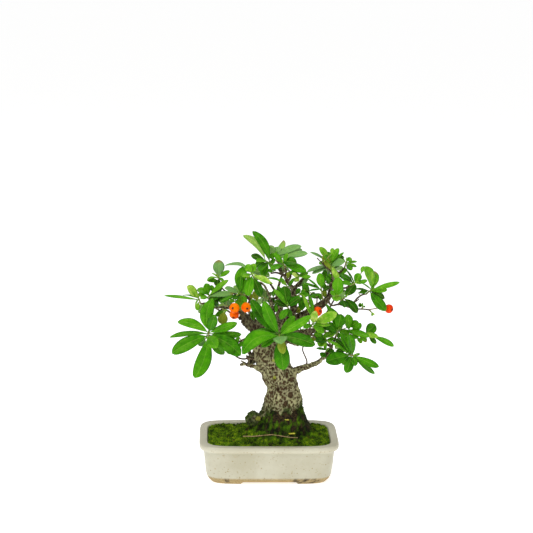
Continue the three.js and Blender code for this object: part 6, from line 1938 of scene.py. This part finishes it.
@dataclass
class MossBed(Assembly):
    """Cushions of moss over the soil, and the leafy tips that stand on them."""

    directions: int = 400
    shares: int = 120
    cushion: float = 3.0
    cushion_rise: float = 1.5
    tips: int = 36000
    tip_length: tuple = (0.6, 1.6)
    clear: float = 0.6
    tips_clear: float = 1.1
    above_soil: float = 0.3

    def top(self, x: np.ndarray, y: np.ndarray) -> tuple[np.ndarray, np.ndarray]:
        """Returns the height with the cushions, and how near a cushion's middle each place is.

        The cushions are round domes of 1.5 mm in cells of 3 mm, drawn out down the mound.
        """
        level = moss_height(x, y)
        flat = np.stack((x.ravel(), y.ravel(), 0.4 * level.ravel()), axis=-1)
        distance, _ = cell_spots(flat, self.cushion, 83)
        grain = layered_noise(flat, 2.2, 91, 2)
        swell = layered_noise(flat, 8, 93, 2)
        dome = self.cushion_rise * (0.35 - np.minimum(distance, 0.9) ** 2) + 0.25 * grain + 0.5 * swell
        near = smooth_step(0.75, 0.2, distance + 0.2 * grain)
        return level + dome.reshape(x.shape), near.reshape(x.shape)

    def earth(self, points: np.ndarray) -> np.ndarray:
        """Returns how bare and dark the moss is, 0 to 1.

        It is bare in thin streaks on the mound above 36 mm, and in patches before the mound.
        """
        streak = layered_noise(points * np.array((1, 1, 0.35)), 2.2, 97, 3)
        wide = layered_noise(points, 9, 99, 1)
        ragged = streak + 0.6 * wide
        right = smooth_step(-16, -4, points[..., 0])
        mound = right * smooth_step(35, 42, points[..., 2]) * smooth_step(-0.3, 0.2, ragged)
        aside = np.abs(points[..., 0] - 4) + 6 * wide
        front = smooth_step(27, 14, aside) * smooth_step(-10, -17, points[..., 1])
        return np.maximum(mound, 0.75 * front * smooth_step(-0.05, 0.35, ragged))

    def build(self) -> None:
        """Makes the bed and its tips."""
        edge = RIM_INSIDE - self.clear
        lowest = SOIL_TOP + self.above_soil
        way = even_directions(self.directions)
        rim = plan_reach(np.full(len(way), edge), way)
        share = 1 - np.linspace(0, 1, self.shares)[:, None, None] ** 1.15 * 0.98
        flat = MOUND_CENTRE + (rim[None] - MOUND_CENTRE) * share
        top, near = self.top(flat[..., 0], flat[..., 1])
        top[0] = np.maximum(top[0] - 1.2, lowest + 0.6)
        rings = np.concatenate((flat, top[..., None]), axis=-1)
        under = np.stack([
            np.column_stack((MOUND_CENTRE + (rim - MOUND_CENTRE) * s, np.full(len(way), lowest)))
            for s in (0.02, 0.5, 0.99)
        ])
        whole = np.concatenate((under, rings))
        # painted shade: the bed is darker between the cushions than at their middles
        tip = np.concatenate((np.zeros(under.shape[:2]), 0.16 + 0.44 * near))
        # painted shade: the bed is darker on the mound's front and right
        tip = tip * painted_moss_light(whole)
        values = {"tip": tip, "earth": self.earth(whole.reshape(-1, 3)).reshape(tip.shape)}
        bed = ring_solid(whole, values)
        self.writer.piece("moss_bed", bed, [self.materials.moss], "moss", ("moss",))
        self.writer.piece("moss_tips", self.tufts(rim), [self.materials.moss], "moss", ("moss",))

    def tufts(self, rim: np.ndarray) -> Surface:
        """Returns thousands of slender three-sided spikes standing on the bed."""
        rng = np.random.default_rng(SEED)
        flat = rng.uniform(rim.min(axis=0), rim.max(axis=0), (3 * self.tips, 2))
        flat = flat[plan_share(flat, RIM_INSIDE - self.tips_clear) < 1][:self.tips]
        height, near = self.top(*flat.T)
        bare = self.earth(np.column_stack((flat, height)))
        kept = rng.random(len(flat)) < (0.1 + near) * (1 - 0.8 * bare)
        flat, height = flat[kept], height[kept]
        x, y = flat.T
        step = 0.25
        rise_x, rise_y = self.top(x + step, y)[0] - height, self.top(x, y + step)[0] - height
        normal = unit(np.column_stack((-rise_x / step, -rise_y / step, np.ones(len(x)))))
        tufts = moss_spikes(np.column_stack((flat, height)), normal, rng, 0.45, self.tip_length, 0.3)
        # painted shade: the tips are darker on the mound's front and right
        tufts.values["tip"] = tufts.values["tip"] * painted_moss_light(tufts.points)
        return tufts


@dataclass(frozen=True)
class Berry:
    """One fruit: its centre, radius, the start of its stalk, and where its eye looks.

    Its skin is blotched with the blush, and its stalk goes through the bend where it has one.
    """

    centre: tuple
    radius: float
    stalk: tuple
    eye: tuple
    skin: str
    blush: str
    bend: tuple | None = None

    def axes(self) -> tuple[np.ndarray, np.ndarray, np.ndarray]:
        """Returns unit vectors to the eye and two ways square to it."""
        axis = unit(np.array(self.eye, float))
        side = unit(np.cross(axis, (0.0, 0.0, 1.0)))
        return axis, side, np.cross(axis, side)


BERRIES = (
    Berry((-28.3, 140.2, 21), 4.1, (-22.5, 137.5, 8), (-0.45, -1, 0.2), "#f97f02", "#f05a02"),
    Berry((-28.4, 134.7, 13), 3.9, (-22.5, 133.8, 8), (-0.2, -1, -0.7), "#f46c06", "#e24602"),
    Berry((-18.7, 140.8, 18), 4.1, (-19.6, 135.6, 8), (0.25, -1, -0.05), "#f98202", "#ee5602"),
    Berry((39.9, 137.6, 15), 3.9, (39, 140, 5), (0.7, -1, 0.4), "#f65a08", "#e03c04"),
    Berry((98.5, 140, -9), 3.8, (82, 139.2, -9), (0.9, -0.8, -0.1), "#ea4410", "#cc2a06",
          (90, 140.6, -9)),
)


@dataclass
class Fruit(Assembly):
    """The ripe berries on their stalks."""

    flatness: float = 0.92
    eye_dimple: float = 0.16
    stalk_dimple: float = 0.1
    dimple_angle: float = 0.3
    lobe_rise: float = 0.012
    calyx_lobes: int = 5

    def fruit(self, berry: Berry) -> Surface:
        """A globe flattened to 0.92, dimpled at the eye and the stalk by exp(-(polar angle / 0.3)^2)."""
        polar = np.linspace(0.01, np.pi - 0.01, 30)[:, None]
        turn = full_turn(44)[None]
        dimple = self.eye_dimple * np.exp(-((polar / self.dimple_angle) ** 2))
        dimple = dimple + self.stalk_dimple * np.exp(-(((np.pi - polar) / self.dimple_angle) ** 2))
        lobes = self.lobe_rise * np.cos(5 * turn) * np.sin(polar) ** 2
        reach = berry.radius * (1 - dimple + lobes)
        axis, side, other = berry.axes()
        along = self.flatness * reach * np.cos(polar)
        rings = (
            place(*berry.centre) + along[..., None] * axis
            + (reach * np.sin(polar) * np.cos(turn))[..., None] * side
            + (reach * np.sin(polar) * np.sin(turn))[..., None] * other
        )
        blush = 0.5 + 0.5 * np.sin(polar) * np.cos(turn + berry.radius * 9)
        return ring_solid(rings, {"blush": blush})

    def calyx(self, berry: Berry, rng: np.random.Generator) -> list[Surface]:
        """The dried calyx in the eye of the fruit: five short lobes about a dark cup."""
        axis, side, other = berry.axes()
        middle = place(*berry.centre) + axis * berry.radius * 0.76
        line = middle + np.outer(np.linspace(-0.3, 0.25, 4), axis)
        parts = [tube(line, np.array((0.5, 0.8, 0.85, 0.6)), 12)]
        for turn in full_turn(self.calyx_lobes):
            angle = turn + rng.uniform(-0.15, 0.15)
            out = side * math.cos(angle) + other * math.sin(angle)
            corners = [middle + out * r + axis * h for r, h in ((0.3, 0.1), (0.8, 0.42), (1.35, 0.44))]
            parts.append(tube(catmull_rom(np.array(corners), 3), np.linspace(0.34, 0.1, 7), 6))
        return [part.plain(("blush",), 1) for part in parts]

    def stalk(self, berry: Berry) -> Surface:
        """The thin stalk from the twig into the back of the fruit."""
        axis = berry.axes()[0]
        foot = place(*berry.stalk)
        behind = place(*berry.centre) - axis * berry.radius * 0.8
        bend = place(*berry.bend) if berry.bend else (foot + behind) / 2 - axis * 0.6
        line = catmull_rom(np.array((foot, bend, behind)), 5)
        return tube(line, np.linspace(0.42, 0.5, len(line)), 8).plain(("blush",), 2)

    def build(self) -> None:
        """Makes every berry."""
        rng = np.random.default_rng(SEED)
        for number, berry in enumerate(BERRIES, 1):
            whole = joined([self.fruit(berry), *self.calyx(berry, rng), self.stalk(berry)])
            skin = BerrySkin(berry.skin, berry.blush).make()
            finishes = [skin, self.materials.calyx, self.materials.stalk]
            self.writer.piece(f"ripe_berry_{number}", whole, finishes, "berry_skin", (f"berry_{number}",))


@dataclass
class Litter(Assembly):
    """A dry twig and two fallen leaflets that lie on the moss.

    The twig is its two ends in plan, and a spur is where it leaves the twig and where it points.
    A leaflet is its name, its middle in plan, its length, width and heading.
    """

    bed: MossBed
    twig: tuple = ((-21.4, -15), (23.4, -20.4))
    spurs: tuple = ((7, (0.6, 0.9, 0.25)), (15, (0.7, -0.8, 0.2)), (20, (0.6, 0.8, 0.3)))
    leaves: tuple = (
        ("front", (18.8, -17), 5.6, 3.2, 12), ("mound", (14.6, -14), 3.4, 1.9, -20),
    )

    def on_moss(self, points: np.ndarray, lift: float) -> np.ndarray:
        """Returns the points put down on the moss, lift mm above it."""
        return np.column_stack((points[:, :2], self.bed.top(points[:, 0], points[:, 1])[0] + lift))

    def dry_twig(self) -> None:
        """Makes the twig with its short side spurs."""
        ends = np.array([(*end, 0.0) for end in self.twig])
        share = np.linspace(0, 1, 26)[:, None]
        line = ends[0] + (ends[1] - ends[0]) * share
        line[:, 1] += 0.35 * np.sin(5 * share[:, 0])
        line = self.on_moss(line, 0.9)
        level = np.polyval(np.polyfit(share[:, 0], line[:, 2], 1), share[:, 0])
        line[:, 2] = np.maximum(level + 0.2, line[:, 2] - 0.3)
        line[:, 2] = np.convolve(np.pad(line[:, 2], 4, "edge"), np.ones(9) / 9, "valid")
        radii = np.interp(share[:, 0], (0, 1), (0.5, 0.3))
        parts = [tube(line, radii, 7)]
        for k, heading in self.spurs:
            spur = line[k] + unit(np.array(heading)) * np.linspace(0, 3.2, 5)[:, None]
            parts.append(tube(spur, np.linspace(0.28, 0.12, 5), 6))
        finish = [self.materials.dry_twig]
        self.writer.piece("dry_twig", joined(parts), finish, "dry_twig", ("fallen_twig",))

    def leaflet(self, name: str, middle: tuple, length: float, width: float, heading: float) -> None:
        """Makes one leaflet, level on the moss."""
        blade = BladeShape(stem_share=0.02)
        turn = math.radians(heading)
        along = np.array((math.cos(turn), math.sin(turn), 0))
        across = np.array((-along[1], along[0], 0))
        share = np.linspace(-0.5, 0.5, blade.stations)[:, None]
        spine = self.on_moss(np.array((*middle, 0.0)) + share * length * along, 1.3)
        spine[:, 2] = spine[:, 2].mean()
        rng = np.random.default_rng(SEED + 7)
        leaf = blade.build(spine, across, np.array((0, 0, 1.0)), Leaf(0, 0, 0, width, tone=0.9), 0.0, rng)
        finish = [self.materials.fallen_leaf] * 2
        self.writer.piece("leaflet_" + name, leaf, finish, "fallen_leaf", ("fallen_leaf_" + name,))

    def build(self) -> None:
        """Makes the twig and the leaflets."""
        self.dry_twig()
        for leaflet in self.leaves:
            self.leaflet(*leaflet)


# Studio


@dataclass(frozen=True)
class Lamp:
    """A soft square light: its place and aim in mm, side in mm and power in watts."""

    name: str
    place: tuple
    aim: tuple
    side: float
    power: float


LAMPS = (
    Lamp("key", (-420, -620, 760), (0, 0, 100), 420, 4.9),
    Lamp("fill", (620, -520, 420), (0, 0, 100), 520, 1.3),
    Lamp("top", (60, 160, 900), (0, 0, 80), 500, 2.8),
)


@dataclass
class Studio:
    """A plain pale floor, a bright sky, soft lights and the viewer's camera.

    The shift is where the pot stands in the frame, in mm.
    """

    shift: np.ndarray
    floor_side: float = 40000
    floor_glow: float = 0.68
    sky_strength: float = 0.33

    def floor(self) -> None:
        """Makes the pale floor under the pot."""
        side = self.floor_side * MM
        corners = [(x * side, y * side, 0) for x, y in ((-1, -1), (1, -1), (1, 1), (-1, 1))]
        mesh = bpy.data.meshes.new("floor")
        mesh.from_pydata(corners, [], [(0, 1, 2, 3)])
        floor = add_object("floor", mesh)
        pale = Recipe("pale_floor", Roughness=0.9, Emission_Strength=self.floor_glow)
        colors = {"Base_Color": linear("#f8f8f7"), "Emission_Color": linear("#ffffff")}
        floor.data.materials.append(pale.finish(**colors))

    def sky(self) -> None:
        """Lights the scene evenly from a near-white sky."""
        world = bpy.data.worlds.new("sky")
        world.use_nodes = True
        background = next(node for node in world.node_tree.nodes if node.type == "BACKGROUND")
        background.inputs["Color"].default_value = linear("#ffffff")
        background.inputs["Strength"].default_value = self.sky_strength
        bpy.context.scene.world = world
        bpy.context.scene.view_settings.view_transform = "Standard"

    def lamp(self, lamp: Lamp) -> None:
        """Adds one soft light."""
        data = bpy.data.lights.new(lamp.name, "AREA")
        data.size = lamp.side * MM
        data.energy = lamp.power
        light = add_object(lamp.name, data)
        at = np.array(lamp.place, float)
        back = unit(at - lamp.aim)
        right = unit(np.cross((0.0, 0.0, 1.0), back))
        light.matrix_world = self.matrix(right, np.cross(back, right), back, at * MM)

    def matrix(self, right: np.ndarray, up: np.ndarray, back: np.ndarray, at: np.ndarray) -> Matrix:
        """Returns the placing matrix of unit vectors right, up and back at a place in metres."""
        rows = np.eye(4)
        rows[:3] = np.column_stack((right, up, back, at))
        return Matrix(rows.tolist())

    def camera(self) -> None:
        """Puts the camera at the viewer's eye, pitched, turned and rolled as the picture is."""
        right = np.array((math.cos(CAMERA_HEADING), -math.sin(CAMERA_HEADING), 0))
        level = np.array((math.sin(CAMERA_HEADING), math.cos(CAMERA_HEADING), 0))
        forward = level * math.cos(CAMERA_PITCH) - np.array((0, 0, math.sin(CAMERA_PITCH)))
        up = np.cross(right, forward)
        tilted = right * math.cos(CAMERA_ROLL) + up * math.sin(CAMERA_ROLL)
        upright = up * math.cos(CAMERA_ROLL) - right * math.sin(CAMERA_ROLL)
        data = bpy.data.cameras.new("viewer")
        data.sensor_width = SENSOR_MM
        data.lens = FOCAL_PX / PHOTO_SIDE_PX * SENSOR_MM
        data.clip_start = 0.01
        camera = add_object("viewer", data)
        camera.matrix_world = self.matrix(tilted, upright, -forward, (EYE + self.shift) * MM)
        bpy.context.scene.camera = camera

    def build(self) -> None:
        """Sets up everything round the tree."""
        self.floor()
        self.sky()
        for lamp in LAMPS:
            self.lamp(lamp)
        self.camera()


def dress_inside(materials: Materials) -> None:
    """Gives the soil and the drain screens, which keep their solids, their materials."""
    for name, material in (
        ("soil", materials.soil), ("screen_left", materials.screen), ("screen_right", materials.screen),
    ):
        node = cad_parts[name]
        node.data.materials.clear()
        node.data.materials.append(material)


def main() -> None:
    """Builds the finished tree and the studio."""
    logging.basicConfig(level=logging.INFO)
    writer = Writer()
    materials = Materials()
    Pot(writer, materials).build()
    bed = MossBed(writer, materials)
    bed.build()
    Wood(writer, materials).build()
    Foliage(writer, materials).build()
    Fruit(writer, materials).build()
    Litter(writer, materials, bed).build()
    dress_inside(materials)
    Studio(writer.shift).build()


if __name__ == "__main__":
    main()
